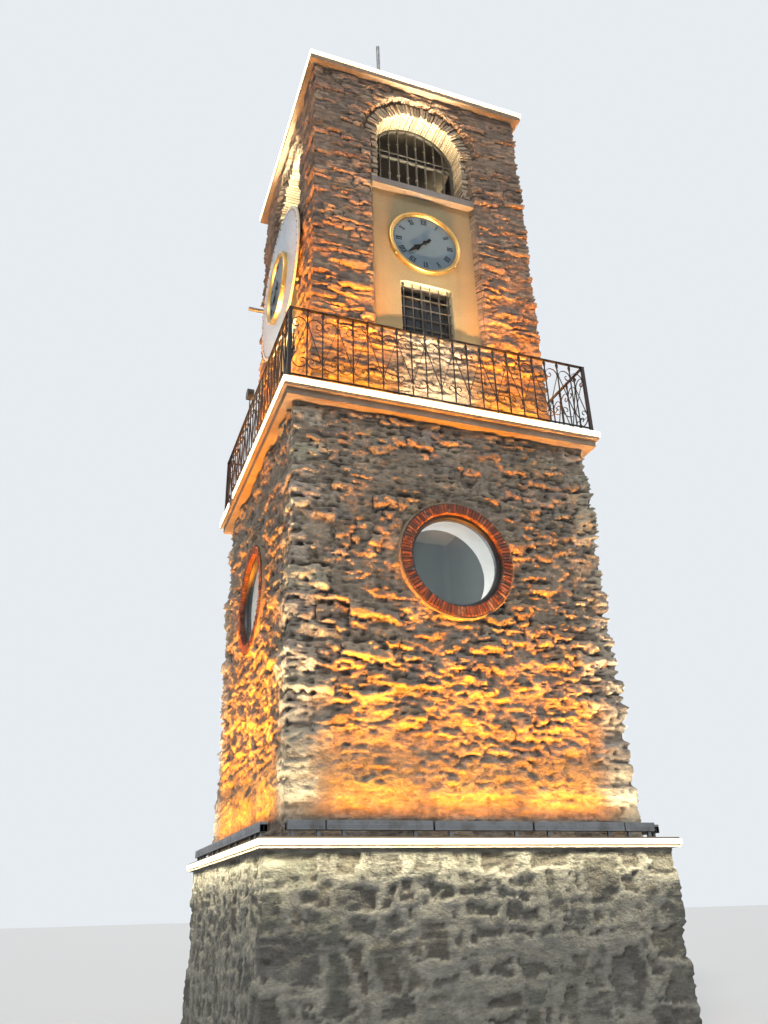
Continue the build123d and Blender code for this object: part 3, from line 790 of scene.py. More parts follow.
UPPER_SHAFT = {
    "seed": 21, "half": UPPER_HALF, "foot": BALCONY_TOP, "head": SOFFIT, "step": (0.028, 0.014),
    "band": (0.18, 0.36), "panel": (0.4, 1.2), "course": (0.045, 0.125), "length": (0.14, 0.54),
    "tall_share": 1.2, "quoin": (0.06, 0.13), "short_arm": (0.10, 0.20), "long_arm": (0.22, 0.44),
    "warp": (0.034, 0.030), "level": (0.004, 0.040), "missing": 0.20, "slope": 0.009,
    "edge": (0.018, 0.026), "crag": 0.022, "mortar": (0.006, 0.010), "smear": (0.0, 0.010), "hollow": 0.028,
    "keep_off": keep_off_panel, "clear": 0.0, "skirt": 0.070,
    "tones": UPPER_TONES, "quoin_tones": UPPER_TONES,
    "mortar_tones": [(0.155, 0.110, 0.080), (0.220, 0.158, 0.113)],
}
BASE_TONES = [
    (0.112, 0.112, 0.096), (0.092, 0.092, 0.080), (0.132, 0.128, 0.108), (0.080, 0.080, 0.072),
    (0.108, 0.098, 0.082), (0.124, 0.114, 0.094),
]
PLINTH = {
    "seed": 31, "half": BASE_HALF, "foot": 0.0, "head": BASE_TOP, "step": (0.027, 0.024),
    "band": (0.24, 0.42), "panel": (0.6, 1.5), "course": (0.11, 0.28), "length": (0.18, 0.50),
    "tall_share": 1.6, "quoin": (0.26, 0.42), "short_arm": (0.20, 0.32), "long_arm": (0.36, 0.58),
    "warp": (0.040, 0.052), "level": (-0.026, -0.002), "missing": 0.05, "slope": 0.008,
    "edge": (0.034, 0.012), "crag": 0.022, "mortar": (0.000, 0.012), "smear": (0.026, 0.045), "hollow": 0.026,
    "tones": BASE_TONES, "quoin_tones": BASE_TONES,
    "mortar_tones": [(0.164, 0.160, 0.138), (0.220, 0.214, 0.186)],
}

build_rubble(
    LOWER_SHAFT, [f"lower_stonework_{side}" for side in SIDES], LOWER_STONE,
    [f"{side}_lower_wall" for side in SIDES],
)
build_lower_room_walls()
build_rubble(UPPER_SHAFT, [f"upper_stonework_{side}" for side in SIDES], UPPER_STONE)
build_rubble(PLINTH, ["base_stonework"], BASE_STONE, ["base_masonry"])
build_base_underside()


# Small forms
def cut_cube():
    """Corners and faces of a cube with cut edges: a coordinate of 1 lies on a face, and 0.5 beside it."""
    made = bmesh.new()
    bmesh.ops.create_cube(made, size=2)
    bmesh.ops.bevel(made, geom=made.edges[:] + made.verts[:], offset=0.5, segments=1, affect="EDGES")
    corners = np.array([v.co for v in made.verts])
    faces = [[v.index for v in f.verts] for f in made.faces]
    made.free()
    return corners, faces


CUBE_CORNERS, CUBE_FACES = cut_cube()


def cube_places(axis, middle, half, chamfer):
    """The cube's corners along one axis, for a middle and half a size. Those beside a face lie further in."""
    corners = CUBE_CORNERS[:, axis]
    return middle + np.sign(corners) * np.where(np.abs(corners) > 0.99, half, half - chamfer)


def add_box(pile, side, centre, size, chamfer=0.002, tone=(1, 1, 1)):
    """Box on one side of the tower: centre and size as along, out and up."""
    places = [cube_places(axis, centre[axis], size[axis] / 2, chamfer) for axis in range(3)]
    pile.add(on_side(side, *places), CUBE_FACES, tone)


def add_ribbon(pile, side, out, path, width, depth):
    """Flat bar bent along a path of (along, up) points: width in the path's plane, depth across it."""
    path = np.asarray(path, float)
    ahead = np.gradient(path, axis=0)
    ahead /= np.linalg.norm(ahead, axis=1, keepdims=True)
    across = np.stack([-ahead[:, 1], ahead[:, 0]], axis=1) * width / 2
    rings = []
    for offset, push in ((1, 1), (1, -1), (-1, -1), (-1, 1)):
        edge = path + across * offset
        rings.append(on_side(side, edge[:, 0], out + push * depth / 2, edge[:, 1]))
    faces = [(0, 1, 2, 3), tuple(4 * (len(path) - 1) + i for i in (3, 2, 1, 0))]
    for n, i in itertools.product(range(len(path) - 1), range(4)):
        j = (i + 1) % 4
        faces.append((4 * n + i, 4 * (n + 1) + i, 4 * (n + 1) + j, 4 * n + j))
    pile.add(np.stack(rings, axis=1), faces)


def ring_faces(first, second, count):
    """Faces between two rings of points that start at these numbers."""
    return [(first + i, first + (i + 1) % count, second + (i + 1) % count, second + i) for i in range(count)]


def add_rod(pile, start, end, radius, sides=8):
    """Round bar between two points."""
    start, end = np.array(start, float), np.array(end, float)
    ahead = (end - start) / np.linalg.norm(end - start)
    aside = np.cross(ahead, UP if abs(ahead[2]) < 0.9 else np.array((1.0, 0, 0)))
    aside /= np.linalg.norm(aside)
    over = np.cross(ahead, aside)
    turns = np.linspace(0, 2 * math.pi, sides, endpoint=False)
    ring = radius * (np.cos(turns)[:, None] * aside + np.sin(turns)[:, None] * over)
    ends = [tuple(range(sides))[::-1], tuple(range(sides, 2 * sides))]
    pile.add(np.concatenate([start + ring, end + ring]), ends + ring_faces(0, sides, sides))


def add_ball(pile, centre, radius, rings=6, sides=10):
    levels = np.linspace(-math.pi / 2, math.pi / 2, rings + 1)[1:-1]
    turns = np.linspace(0, 2 * math.pi, sides, endpoint=False)
    points = [np.array(centre) - UP * radius]
    for level, turn in itertools.product(levels, turns):
        direction = (math.cos(level) * math.cos(turn), math.cos(level) * math.sin(turn), math.sin(level))
        points.append(np.array(centre) + radius * np.array(direction))
    points.append(np.array(centre) + UP * radius)
    top = 1 + (len(levels) - 1) * sides
    faces = []
    for i in range(sides):
        j = (i + 1) % sides
        faces.append((0, 1 + j, 1 + i))
        for a in range(1, top, sides):
            faces.append((a + i, a + j, a + sides + j, a + sides + i))
        faces.append((top + i, top + j, len(points) - 1))
    pile.add(points, faces)


def lathe(pile, side, centre_z, out, profile, segments=96):
    """Ring turned about a side's outward axis from (radius, out) pairs."""
    turns = np.linspace(0, 2 * math.pi, segments, endpoint=False)
    rings, faces = [], []
    for number, (radius, rise) in enumerate(profile):
        rings.append(on_circle(side, centre_z, radius, turns, out + rise))
        if number:
            faces += ring_faces((number - 1) * segments, number * segments, segments)
    pile.add(np.concatenate(rings), faces)


# Bricks
RED_TONES = [(0.130, 0.038, 0.022), (0.105, 0.030, 0.019), (0.155, 0.050, 0.027), (0.080, 0.027, 0.019)]
BUFF_TONES = [(0.31, 0.235, 0.16), (0.26, 0.195, 0.13), (0.35, 0.27, 0.185), (0.22, 0.165, 0.115)]
OCULUS_BRICKS = 100
ARCH_BRICKS = 52
JAMB_COURSES = 11
BRICK_CHAMFER = 0.004
BRICK_SHARE = (0.68, 0.78)
COURSE_SHARE = (0.72, 0.82)
OCULUS_RIM = ((-0.004, 0.0), (0.003, 0.030), (0.016, 0.027), (0.030, -0.030))
# Dark frame bead, wider than the frame: partly the frame, partly painted shade of the brick reveal.
FRAME_SHADE_BEAD = ((0.048, -0.002), (0.040, 0.028), (0.007, 0.028), (0.007, -0.002))


def brick_tone(rng, tones):
    return np.array(tones[rng.integers(0, len(tones))]) * rng.uniform(0.8, 1.2)


def add_radial_brick(pile, rng, side, centre_z, angle, wedge, inner, outer, back, front, tones):
    """One wedge brick between two radii, standing from back to front."""
    turn = cube_places(0, angle, wedge / 2, BRICK_CHAMFER / outer)
    out = cube_places(1, (back + front) / 2, (front - back) / 2, BRICK_CHAMFER)
    radius = cube_places(2, (inner + outer) / 2, (outer - inner) / 2, BRICK_CHAMFER)
    pile.add(on_circle(side, centre_z, radius, turn, out), CUBE_FACES, brick_tone(rng, tones))


def build_oculus_bricks():
    rng = np.random.default_rng(41)
    pile = Pile()
    pitch = 2 * math.pi / OCULUS_BRICKS
    for side, i in itertools.product(SIDES, range(OCULUS_BRICKS)):
        front = RING_OUT + rng.uniform(0.004, 0.013)
        add_radial_brick(
            pile, rng, side, OCULUS_Z, pitch * i + rng.normal(0, 0.004), pitch * rng.uniform(*BRICK_SHARE),
            RING_INNER - 0.006 + rng.uniform(-0.003, 0.003), RING_OUTER - 0.006 + rng.uniform(-0.006, 0.004),
            GLASS_OUT + 0.022, front, RED_TONES,
        )
    pile.build("oculus_bricks", BRICK, "red_brick")


def build_oculus_rims():
    """Smooth mortar round each brick ring, a dark bead on each frame, which widens the frame as painted shade
    of the reveal, and a white lining behind each window.
    """
    rims, beads, linings = Pile(), Pile(), Pile()
    rim = [(RING_OUTER + more, out) for more, out in OCULUS_RIM]
    bead = [(RING_INNER - less, out) for less, out in FRAME_SHADE_BEAD]
    lining = [(RING_INNER - 0.006, GLASS_OUT - 0.03), (RING_INNER - 0.006, LOWER_INNER)]
    for side in SIDES:
        lathe(rims, side, OCULUS_Z, LOWER_HALF, rim)
        lathe(beads, side, OCULUS_Z, FRAME_OUT, bead)
        lathe(linings, side, OCULUS_Z, 0, lining)
    rims.build("oculus_mortar_rims", RIM_MORTAR, "rubble_stone", smooth=True)
    beads.build("oculus_frame_shade_beads", FRAME_PAINT, "window_frame")
    linings.build("oculus_linings", WHITE_PLASTER, "concrete", smooth=True)


def add_arch_bricks(pile, rng, side):
    pitch = math.pi / ARCH_BRICKS
    for i in range(ARCH_BRICKS):
        angle = pitch * (i + 0.5) + rng.normal(0, 0.004)
        add_radial_brick(
            pile, rng, side, SPRING_Z, angle, pitch * rng.uniform(*BRICK_SHARE),
            ARCH_INNER - 0.010 + rng.uniform(-0.004, 0.004), ARCH_OUTER - 0.002 + rng.uniform(-0.012, 0.004),
            GRILLE_OUT + 0.002, ARCH_OUT + rng.uniform(0.004, 0.050), BUFF_TONES,
        )


def add_jamb_bricks(pile, rng, side):
    course = (SPRING_Z - SILL_TOP) / JAMB_COURSES
    for row, hand in itertools.product(range(JAMB_COURSES), (-1, 1)):
        reach = PANEL_HALF - rng.uniform(*((0.0, 0.03) if row % 2 else (0.03, 0.06)))
        inner = ARCH_INNER - 0.010 + rng.uniform(-0.006, 0.004)
        front = ARCH_OUT + rng.uniform(0.002, 0.045)
        centre = (hand * (inner + reach) / 2, (GRILLE_OUT + front) / 2, SILL_TOP + course * row + course / 2)
        size = (reach - inner, front - GRILLE_OUT - 0.002, course * rng.uniform(*COURSE_SHARE))
        add_box(pile, side, centre, size, BRICK_CHAMFER, brick_tone(rng, BUFF_TONES))


def build_belfry_bricks():
    """Wedge bricks round each arch and toothed courses down its jambs."""
    rng = np.random.default_rng(43)
    pile = Pile()
    for side in SIDES:
        add_arch_bricks(pile, rng, side)
        add_jamb_bricks(pile, rng, side)
    pile.build("belfry_bricks", BRICK, "arch_brick")


build_oculus_bricks()
build_oculus_rims()
build_belfry_bricks()


# Plaster and bars of the panels and small windows
PLASTER_STEP = 0.06
WINDOW_MIDDLE = (WINDOW_FOOT + WINDOW_HEAD) / 2
WINDOW_BARS = 6
UPRIGHT_PITCH, CROSS_PITCH = 0.125, 0.160
BAR_RADIUS = 0.008
BARS_IN, CROSS_IN = 0.045, 0.012


def build_panels():
    """Plaster on each panel, cut out round its window."""
    columns = np.linspace(-PANEL_HALF, PANEL_HALF, round(2 * PANEL_HALF / PLASTER_STEP) + 1)
    rows = np.linspace(WINDOW_FOOT, SILL_FOOT, round((SILL_FOOT - WINDOW_FOOT) / PLASTER_STEP) + 1)
    s, v = np.meshgrid(columns, rows)
    beside, above = WINDOW_HALF - np.abs(s), WINDOW_HEAD - v
    in_window = (beside > 0) & (above > 0)
    at_edge = in_window & (np.minimum(beside, above) < PLASTER_STEP * 1.5)
    sideways = at_edge & (beside <= above)
    s = np.where(sideways, np.sign(s) * WINDOW_HALF, s)
    v = np.where(at_edge & ~sideways, WINDOW_HEAD, v)
    quads = grid_quads(len(columns), len(rows))
    quads = quads[~in_window.ravel()[quads].all(axis=1)]
    for side in SIDES:
        out = PANEL_OUT + 0.004 + 0.0022 * noise(on_side(side, s, 0, v), 3.5, 51)
        points = on_side(side, s, out, v).reshape(-1, 3)
        quad_mesh(f"panel_plaster_{side}", points, quads, PLASTER)


def build_window_bars():
    """Six upright bars in each small window, and six bars across behind them."""
    pile = Pile()
    out = PANEL_OUT - BARS_IN
    steps = np.arange(WINDOW_BARS) - (WINDOW_BARS - 1) / 2
    for side in SIDES:
        for x in steps * UPRIGHT_PITCH:
            ends = [on_side(side, x, out, level) for level in (WINDOW_FOOT, WINDOW_HEAD)]
            add_rod(pile, *ends, BAR_RADIUS)
        for z in WINDOW_MIDDLE + steps * CROSS_PITCH:
            ends = [on_side(side, hand * WINDOW_HALF, out - CROSS_IN, z) for hand in (-1, 1)]
            add_rod(pile, *ends, BAR_RADIUS)
    pile.build("window_bars", BAR_PAINT, "dark_iron", smooth=True)


def build_window_linings():
    """Plaster on the sides, the head and the foot of each small window's opening."""
    pile = Pile()
    out = (PANEL_OUT + WINDOW_OUT) / 2
    depth = PANEL_OUT - WINDOW_OUT + 0.004
    for side in SIDES:
        for hand in (-1, 1):
            size = (0.006, depth, WINDOW_HEAD - WINDOW_FOOT)
            add_box(pile, side, (hand * (WINDOW_HALF - 0.003), out, WINDOW_MIDDLE), size, 0.001)
        add_box(pile, side, (0, out, WINDOW_HEAD - 0.003), (2 * WINDOW_HALF, depth, 0.006), 0.001)
        add_box(pile, side, (0, out, WINDOW_FOOT + 0.004), (2 * WINDOW_HALF, depth, 0.008), 0.001)
    pile.build("window_linings", LINING_PLASTER, "thin_stone")


# Iron: scrolls of the railings and knobs of the grilles
RAIL_DEPTH, RAIL_HEIGHT = 0.044, 0.012
RAIL_FOOT = BALCONY_TOP + 0.07
RAIL_HEAD = RAIL_TOP - RAIL_HEIGHT
FOOT_RAIL_DEPTH, FOOT_RAIL_HEIGHT = 0.026, 0.010
RAIL_BAR = 0.014
FULL_BAR_EVERY = 7
LEAF = ((0, 0.01), (0.016, 0.035), (0.010, 0.075), (0, 0.10))
SCROLL_POINTS = 44
KNOBS = 8
KNOB_PITCH = 0.143
KNOB_RADIUS = 0.024
KNOB_Z = 11.150
CURVE_HALF, CURVE_RISE, CURVE_SQUEEZE = 0.45, 0.335, 0.62
COLLAR_Z = 10.78
COLLAR = (0.034, 0.034, 0.05)


def scroll_path(bay, height):
    """One scroll: a coil over the top, a long straight and the same coil turned round at the foot."""
    start, open_until, end = math.radians(-17), math.radians(100), math.radians(440)
    turns = np.linspace(end, start, SCROLL_POINTS)
    shrink = np.clip((turns - open_until) / (end - open_until), 0, 1)
    radius = bay * (0.455 * (1 - shrink) ** 1.1 + 0.07)
    radius = np.where(shrink == 0, bay * 0.46, radius * 0.46 / 0.525)
    centre_x = bay * (0.5 - 0.03) - bay * 0.19 * np.clip(shrink * 1.7, 0, 1)
    centre_y = height * 0.785
    upper = np.stack([centre_x + radius * np.cos(turns), centre_y + radius * np.sin(turns)], axis=1)
    lower = np.array([bay, height]) - upper[::-1]
    return np.concatenate([upper, lower]) + np.array([0, RAIL_FOOT])


def build_railing(side):
    """Rails, bars with leaves and a scroll in each bay. The corner posts go with the front and the back."""
    pile = Pile()
    has_posts = side in ("front", "back")
    inner = RAIL_OUT - RAIL_POST / 2
    reach = RAIL_OUT + RAIL_DEPTH / 2 if has_posts else RAIL_OUT - RAIL_DEPTH / 2
    bay = 2 * inner / RAIL_BAYS
    head_rail = (2 * reach, RAIL_DEPTH, RAIL_HEIGHT)
    add_box(pile, side, (0, RAIL_OUT, RAIL_TOP - RAIL_HEIGHT / 2), head_rail, 0.003)
    add_box(pile, side, (0, RAIL_OUT, RAIL_FOOT), (2 * inner, FOOT_RAIL_DEPTH, FOOT_RAIL_HEIGHT))
    if has_posts:
        for x in (-RAIL_OUT, RAIL_OUT):
            size = (RAIL_POST, RAIL_POST, RAIL_HEAD - BALCONY_TOP)
            add_box(pile, side, (x, RAIL_OUT, (BALCONY_TOP + RAIL_HEAD) / 2), size, 0.004)
    for i in range(1, RAIL_BAYS):
        x = -inner + bay * i
        low = RAIL_FOOT if i % FULL_BAR_EVERY else BALCONY_TOP
        size = (RAIL_BAR, RAIL_BAR, RAIL_HEAD - low)
        add_box(pile, side, (x, RAIL_OUT, (low + RAIL_HEAD) / 2), size, 0.0015)
        for hand in (-1, 1):
            leaf = [(x + hand * aside, RAIL_HEAD - down) for aside, down in LEAF]
            add_ribbon(pile, side, RAIL_OUT, leaf, 0.007, 0.010)
    for i in range(RAIL_BAYS):
        path = scroll_path(bay, RAIL_HEAD - RAIL_FOOT)
        if i % 2:
            path[:, 0] = bay - path[:, 0]
        path[:, 0] += -inner + bay * i
        add_ribbon(pile, side, RAIL_OUT, path, 0.006, 0.012)
    pile.build(f"{side}_railing_ironwork", IRON, "dark_iron", replaces=[f"{side}_railing"])


def build_grille_knobs():
    """Knobs along each grille's middle bar and its inner curve, and collars at its foot."""
    pile = Pile()
    out = GRILLE_OUT - 0.02
    for side, i in itertools.product(SIDES, range(KNOBS)):
        x = (i - (KNOBS - 1) / 2) * KNOB_PITCH
        add_ball(pile, on_side(side, x, out, KNOB_Z), KNOB_RADIUS)
        if abs(x) < CURVE_HALF:
            curve_z = SPRING_Z + math.sqrt(CURVE_RISE**2 - (x * CURVE_SQUEEZE) ** 2)
            add_ball(pile, on_side(side, x, out, curve_z), KNOB_RADIUS)
        add_box(pile, side, (x, out, COLLAR_Z), COLLAR, 0.006)
    pile.build("grille_knobs", BAR_PAINT, "dark_iron", smooth=True)


build_panels()
for side in SIDES:
    build_railing(side)
build_window_bars()
build_window_linings()
build_grille_knobs()

# Clocks
NUMERALS = ("XII", "I", "II", "III", "IIII", "V", "VI", "VII", "VIII", "IX", "X", "XI")
NUMERAL_ADVANCE = {"I": 0.024, "V": 0.046, "X": 0.048}
NUMERAL_HEIGHT = 0.076
NUMERAL_FOOT = 0.334
THICK_STROKE, THIN_STROKE, SERIF = 0.012, 0.006, 0.005
STROKE_LEAN = 0.016
PAINT_DEPTH = 0.0016
MINUTE_TRACK = (0.436, 0.450)
OUTER_BEAD, INNER_BEAD = 0.019, 0.008
HINGE_RADIUS = 0.020
HINGE_TURNS = (math.radians(215), math.radians(325))
DISC_RIM = ((-0.030, 0.0008), (-0.026, 0.004), (0.003, 0.004), (0.003, -0.024), (-0.02, -0.024))
DISC_BOLTS = 48
DISC_BOLT_INSET, DISC_BOLT_HEIGHT, DISC_BOLT_RADIUS = 0.05, 0.010, 0.012


def clock_face(side):
    """How far out the clock's case stands: the left one is on the disc."""
    return DISC_OUT if side == "left" else PANEL_OUT


def bead(radius, out, width, height, points):
    """Half round section of a ring, from its outer edge to its inner one."""
    turns = np.linspace(0, math.pi, points)
    return [(radius + width * math.cos(t), out + height * math.sin(t)) for t in turns]


def build_clock_rings():
    """Gilt double ring over each case, with two small hinge knobs, and the dial's edge within it."""
    pile, margins = Pile(), Pile()
    outer = bead(CASE_RADIUS - OUTER_BEAD, 0.046, OUTER_BEAD, OUTER_BEAD, 9)
    inner = bead(CASE_RADIUS - 0.040 - INNER_BEAD, 0.044, INNER_BEAD, 0.010, 7)
    profile = [(CASE_RADIUS, 0.001), *outer, *inner, (DIAL_EDGE - 0.004, DIAL_THICKNESS + 0.001)]
    margin = [(DIAL_EDGE, DIAL_THICKNESS + 0.0015), (CASE_INNER - 0.008, DIAL_THICKNESS + 0.0006)]
    for side in SIDES:
        out = clock_face(side)
        lathe(pile, side, CLOCK_Z, out, profile)
        lathe(margins, side, CLOCK_Z, out, margin)
        for turn in HINGE_TURNS:
            add_ball(pile, on_circle(side, CLOCK_Z, CASE_RADIUS + 0.005, turn, out + 0.045), HINGE_RADIUS)
    pile.build("clock_rings", GOLD, "clock_gold", smooth=True, replaces=["clock_cases"])
    margins.build("dial_margins", ENAMEL, "dial_enamel", smooth=True)


def letter_strokes(letter):
    """Strokes of one letter as (x0, y0, x1, y1, width), x from the letter's middle, y up from its foot."""
    top = NUMERAL_HEIGHT
    if letter == "I":
        return [(0, 0, 0, top, THICK_STROKE)]
    foot = 0 if letter == "V" else STROKE_LEAN
    return [(-STROKE_LEAN, top, foot, 0, THICK_STROKE), (STROKE_LEAN, top, -foot, 0, THIN_STROKE)]


def numeral_strokes(word):
    """Strokes of one numeral, with a serif along its foot and its head."""
    width = sum(NUMERAL_ADVANCE[letter] for letter in word)
    x = -width / 2
    strokes = []
    for letter in word:
        middle = x + NUMERAL_ADVANCE[letter] / 2
        strokes += [(middle + a, b, middle + c, d, w) for a, b, c, d, w in letter_strokes(letter)]
        x += NUMERAL_ADVANCE[letter]
    for level in (0, NUMERAL_HEIGHT):
        strokes.append((-width / 2 + 0.003, level, width / 2 - 0.003, level, SERIF))
    return strokes


def build_numerals():
    """Roman numerals and the minute track on each dial."""
    pile = Pile()
    for side in SIDES:
        out = clock_face(side) + DIAL_THICKNESS
        for hour, word in enumerate(NUMERALS):
            cosine, sine = math.cos(math.radians(30 * hour)), math.sin(math.radians(30 * hour))
            for x0, y0, x1, y1, width in numeral_strokes(word):
                path = []
                for x, y in ((x0, y0), (x1, y1)):
                    radius = NUMERAL_FOOT + y
                    path.append((x * cosine + radius * sine, CLOCK_Z - x * sine + radius * cosine))
                add_ribbon(pile, side, out + 0.0008, path, width, PAINT_DEPTH)
        for minute in range(60):
            turn = math.radians(6 * minute)
            width = 0.004 if minute % 5 else 0.008
            path = [(r * math.sin(turn), CLOCK_Z + r * math.cos(turn)) for r in MINUTE_TRACK]
            add_ribbon(pile, side, out + 0.0020, path, width, PAINT_DEPTH)
    pile.build("clock_numerals", HAND_PAINT, "hand_black")


def build_disc_trim():
    """Cream rim and the row of bolts round the large disc on the left."""
    rim, bolts = Pile(), Pile()
    low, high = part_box("left_clock_disc")
    centre, radius = (low.z + high.z) / 2, (high.z - low.z) / 2
    lathe(rim, "left", centre, DISC_OUT, [(radius + more, out) for more, out in DISC_RIM], segments=128)
    rim.build("disc_rim", RIM_PAINT, "disc_paint")
    for i in range(DISC_BOLTS):
        turn = 2 * math.pi * i / DISC_BOLTS
        place = on_circle("left", centre, radius - DISC_BOLT_INSET, turn, DISC_OUT)
        add_rod(bolts, place, place + OUTWARD[3] * DISC_BOLT_HEIGHT, DISC_BOLT_RADIUS, 6)
    bolts.build("disc_bolts", STEEL, "pole_steel")


build_clock_rings()
build_numerals()
build_disc_trim()

# Lamps: hollow aluminium bars with a glowing lens sunk in the top
LAMP_PITCH = 1.004
LAMP_WIDTH = 0.070
LAMP_HEIGHT = 0.080
LAMP_WALL = 0.006
LONG_LAMP, SHORT_LAMP = 0.990, 0.340
CORNER_LAMP = 1.5 * LAMP_PITCH + 0.170
BELFRY_LAMP = (0.900, 0.060)
LENS_DEPTH, BELFRY_LENS_DEPTH = 0.014, 0.018
CAP = 0.008
RIB_DEPTH, RIB_HEIGHT = 0.003, 0.006
SCREW_LENGTH, SCREW_RADIUS = 0.003, 0.004
FOOT_PLATE = (0.040, 0.066, 0.006)
FOOT_LENGTH, FOOT_WIDTH = 0.034, 0.030
BOLT, BOLT_OUT = 0.006, 0.024


def add_lamp_bar(pile, lens, side, x, out, foot, top, length, width, sunk):
    """Trough of a bar lamp from foot to top, with end caps, screws, ribs and its lens below the rim."""
    floor_top = top - sunk - 0.004
    add_box(pile, side, (x, out, (foot + floor_top) / 2), (length, width, floor_top - foot), 0.003)
    for hand in (-1, 1):
        wall = (x, out + hand * (width - LAMP_WALL) / 2, top - sunk / 2 - 0.003)
        add_box(pile, side, wall, (length - 0.004, LAMP_WALL, sunk + 0.006), 0.001)
        cap = (x + hand * (length - CAP) / 2, out, (foot + top) / 2)
        add_box(pile, side, cap, (CAP, width, top - foot))
        for level in (0.25, 0.5, 0.75):
            place = on_side(side, x + hand * length / 2, out, foot + (top - foot) * level)
            add_rod(pile, place, place + ALONG[SIDES.index(side)] * hand * SCREW_LENGTH, SCREW_RADIUS, 6)
    for rib in (0.3, 0.5):
        centre = (x, out + width / 2 + RIB_DEPTH / 2, foot + (top - foot) * rib)
        add_box(pile, side, centre, (length - 0.03, RIB_DEPTH, RIB_HEIGHT), 0.001)
    lens_x = x + np.array([-1, 1, 1, -1]) * (length - 2 * CAP) / 2
    lens_out = out + np.array([-1, -1, 1, 1]) * (width - 2 * LAMP_WALL) / 2
    lens.add(on_side(side, lens_x, lens_out, top - sunk), [(0, 1, 2, 3)])


def add_washer(pile, lens, side, x, box, length):
    """Bar lamp on two bolted feet, in the height and reach of its node's box."""
    stand, top = box[0].z, box[1].z
    foot, out = top - LAMP_HEIGHT, box[1].x - LAMP_WIDTH / 2
    add_lamp_bar(pile, lens, side, x, out, foot, top, length, LAMP_WIDTH, LENS_DEPTH)
    for place in (x - length / 3, x + length / 3):
        add_box(pile, side, (place, out, stand + FOOT_PLATE[2] / 2), FOOT_PLATE, 0.001)
        add_box(pile, side, (place, out, (stand + foot) / 2), (FOOT_LENGTH, FOOT_WIDTH, foot - stand))
        for hand in (-1, 1):
            bolt = on_side(side, place, out + hand * BOLT_OUT, stand + FOOT_PLATE[2])
            add_rod(pile, bolt, bolt + UP * BOLT, BOLT, 6)


def build_lamps():
    """Amber bars. The short ones at the corners, the balcony's middle ones and the belfry's are white."""
    bars, amber, white, belfry = Pile(), Pile(), Pile(), Pile()
    ledge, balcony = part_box("wall_washers"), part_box("balcony_washers")
    belfry_low, belfry_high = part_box("belfry_lamps")
    length, width = BELFRY_LAMP
    belfry_out = belfry_high.x - width / 2
    for side in SIDES:
        for i in (-1, 0, 1):
            add_washer(bars, amber, side, LAMP_PITCH * i, ledge, LONG_LAMP)
            add_washer(bars, amber if i else white, side, LAMP_PITCH * i, balcony, LONG_LAMP)
        for hand in (-1, 1):
            add_washer(bars, white, side, hand * CORNER_LAMP, ledge, SHORT_LAMP)
        levels = (belfry_low.z, belfry_high.z)
        add_lamp_bar(bars, belfry, side, 0, belfry_out, *levels, length, width, BELFRY_LENS_DEPTH)
    lamp_nodes = ["wall_washers", "balcony_washers", "belfry_lamps"]
    bars.build("lamp_bars", ALUMINIUM, "washer_aluminium", replaces=lamp_nodes)
    amber.build("amber_lenses", AMBER_LIGHT, "light_strip")
    white.build("white_lenses", WHITE_LIGHT, "light_strip")
    belfry.build("belfry_lenses", BELFRY_LIGHT, "light_strip")


build_lamps()


# Floor and world
FLOOR_COLOR, FLOOR_HALF = (0.56, 0.56, 0.555), 200
WORLD_LIGHT, WORLD_SEEN = (0.90, 0.95, 1.0), (0.80, 0.84, 0.88)


def build_floor():
    mesh = bpy.data.meshes.new("floor")
    corners = [(x * FLOOR_HALF, y * FLOOR_HALF, 0) for x, y in ((-1, -1), (1, -1), (1, 1), (-1, 1))]
    mesh.from_pydata(corners, [], [(0, 1, 2, 3)])
    m = Material("floor_finish", roughness=0.9, color=FLOOR_COLOR)
    mesh.materials.append(m.material)
    floor = bpy.data.objects.new("floor", mesh)
    bpy.context.scene.collection.objects.link(floor)


def build_world():
    """Soft cool light on the tower, and a plain pale grey where the camera or a reflection sees past it."""
    world = bpy.data.worlds.new("studio")
    world.use_nodes = True
    tree = world.node_tree
    tree.nodes.clear()
    output, light, seen, rays, mixer = [
        tree.nodes.new(f"ShaderNode{kind}")
        for kind in ("OutputWorld", "Background", "Background", "LightPath", "MixShader")
    ]
    for background, color, strength in ((light, WORLD_LIGHT, 0.55), (seen, WORLD_SEEN, 1.0)):
        background.inputs["Color"].default_value = (*color, 1)
        background.inputs["Strength"].default_value = strength
    direct = rays.outputs["Is Camera Ray"]
    for kind in ("Is Glossy Ray", "Is Transmission Ray"):
        either = tree.nodes.new("ShaderNodeMath")
        either.operation = "MAXIMUM"
        tree.links.new(direct, either.inputs[0])
        tree.links.new(rays.outputs[kind], either.inputs[1])
        direct = either.outputs[0]
    for socket, source in zip(mixer.inputs, (direct, light.outputs[0], seen.outputs[0])):
        tree.links.new(source, socket)
    tree.links.new(mixer.outputs[0], output.inputs["Surface"])
    bpy.context.scene.world = world


build_floor()
build_world()

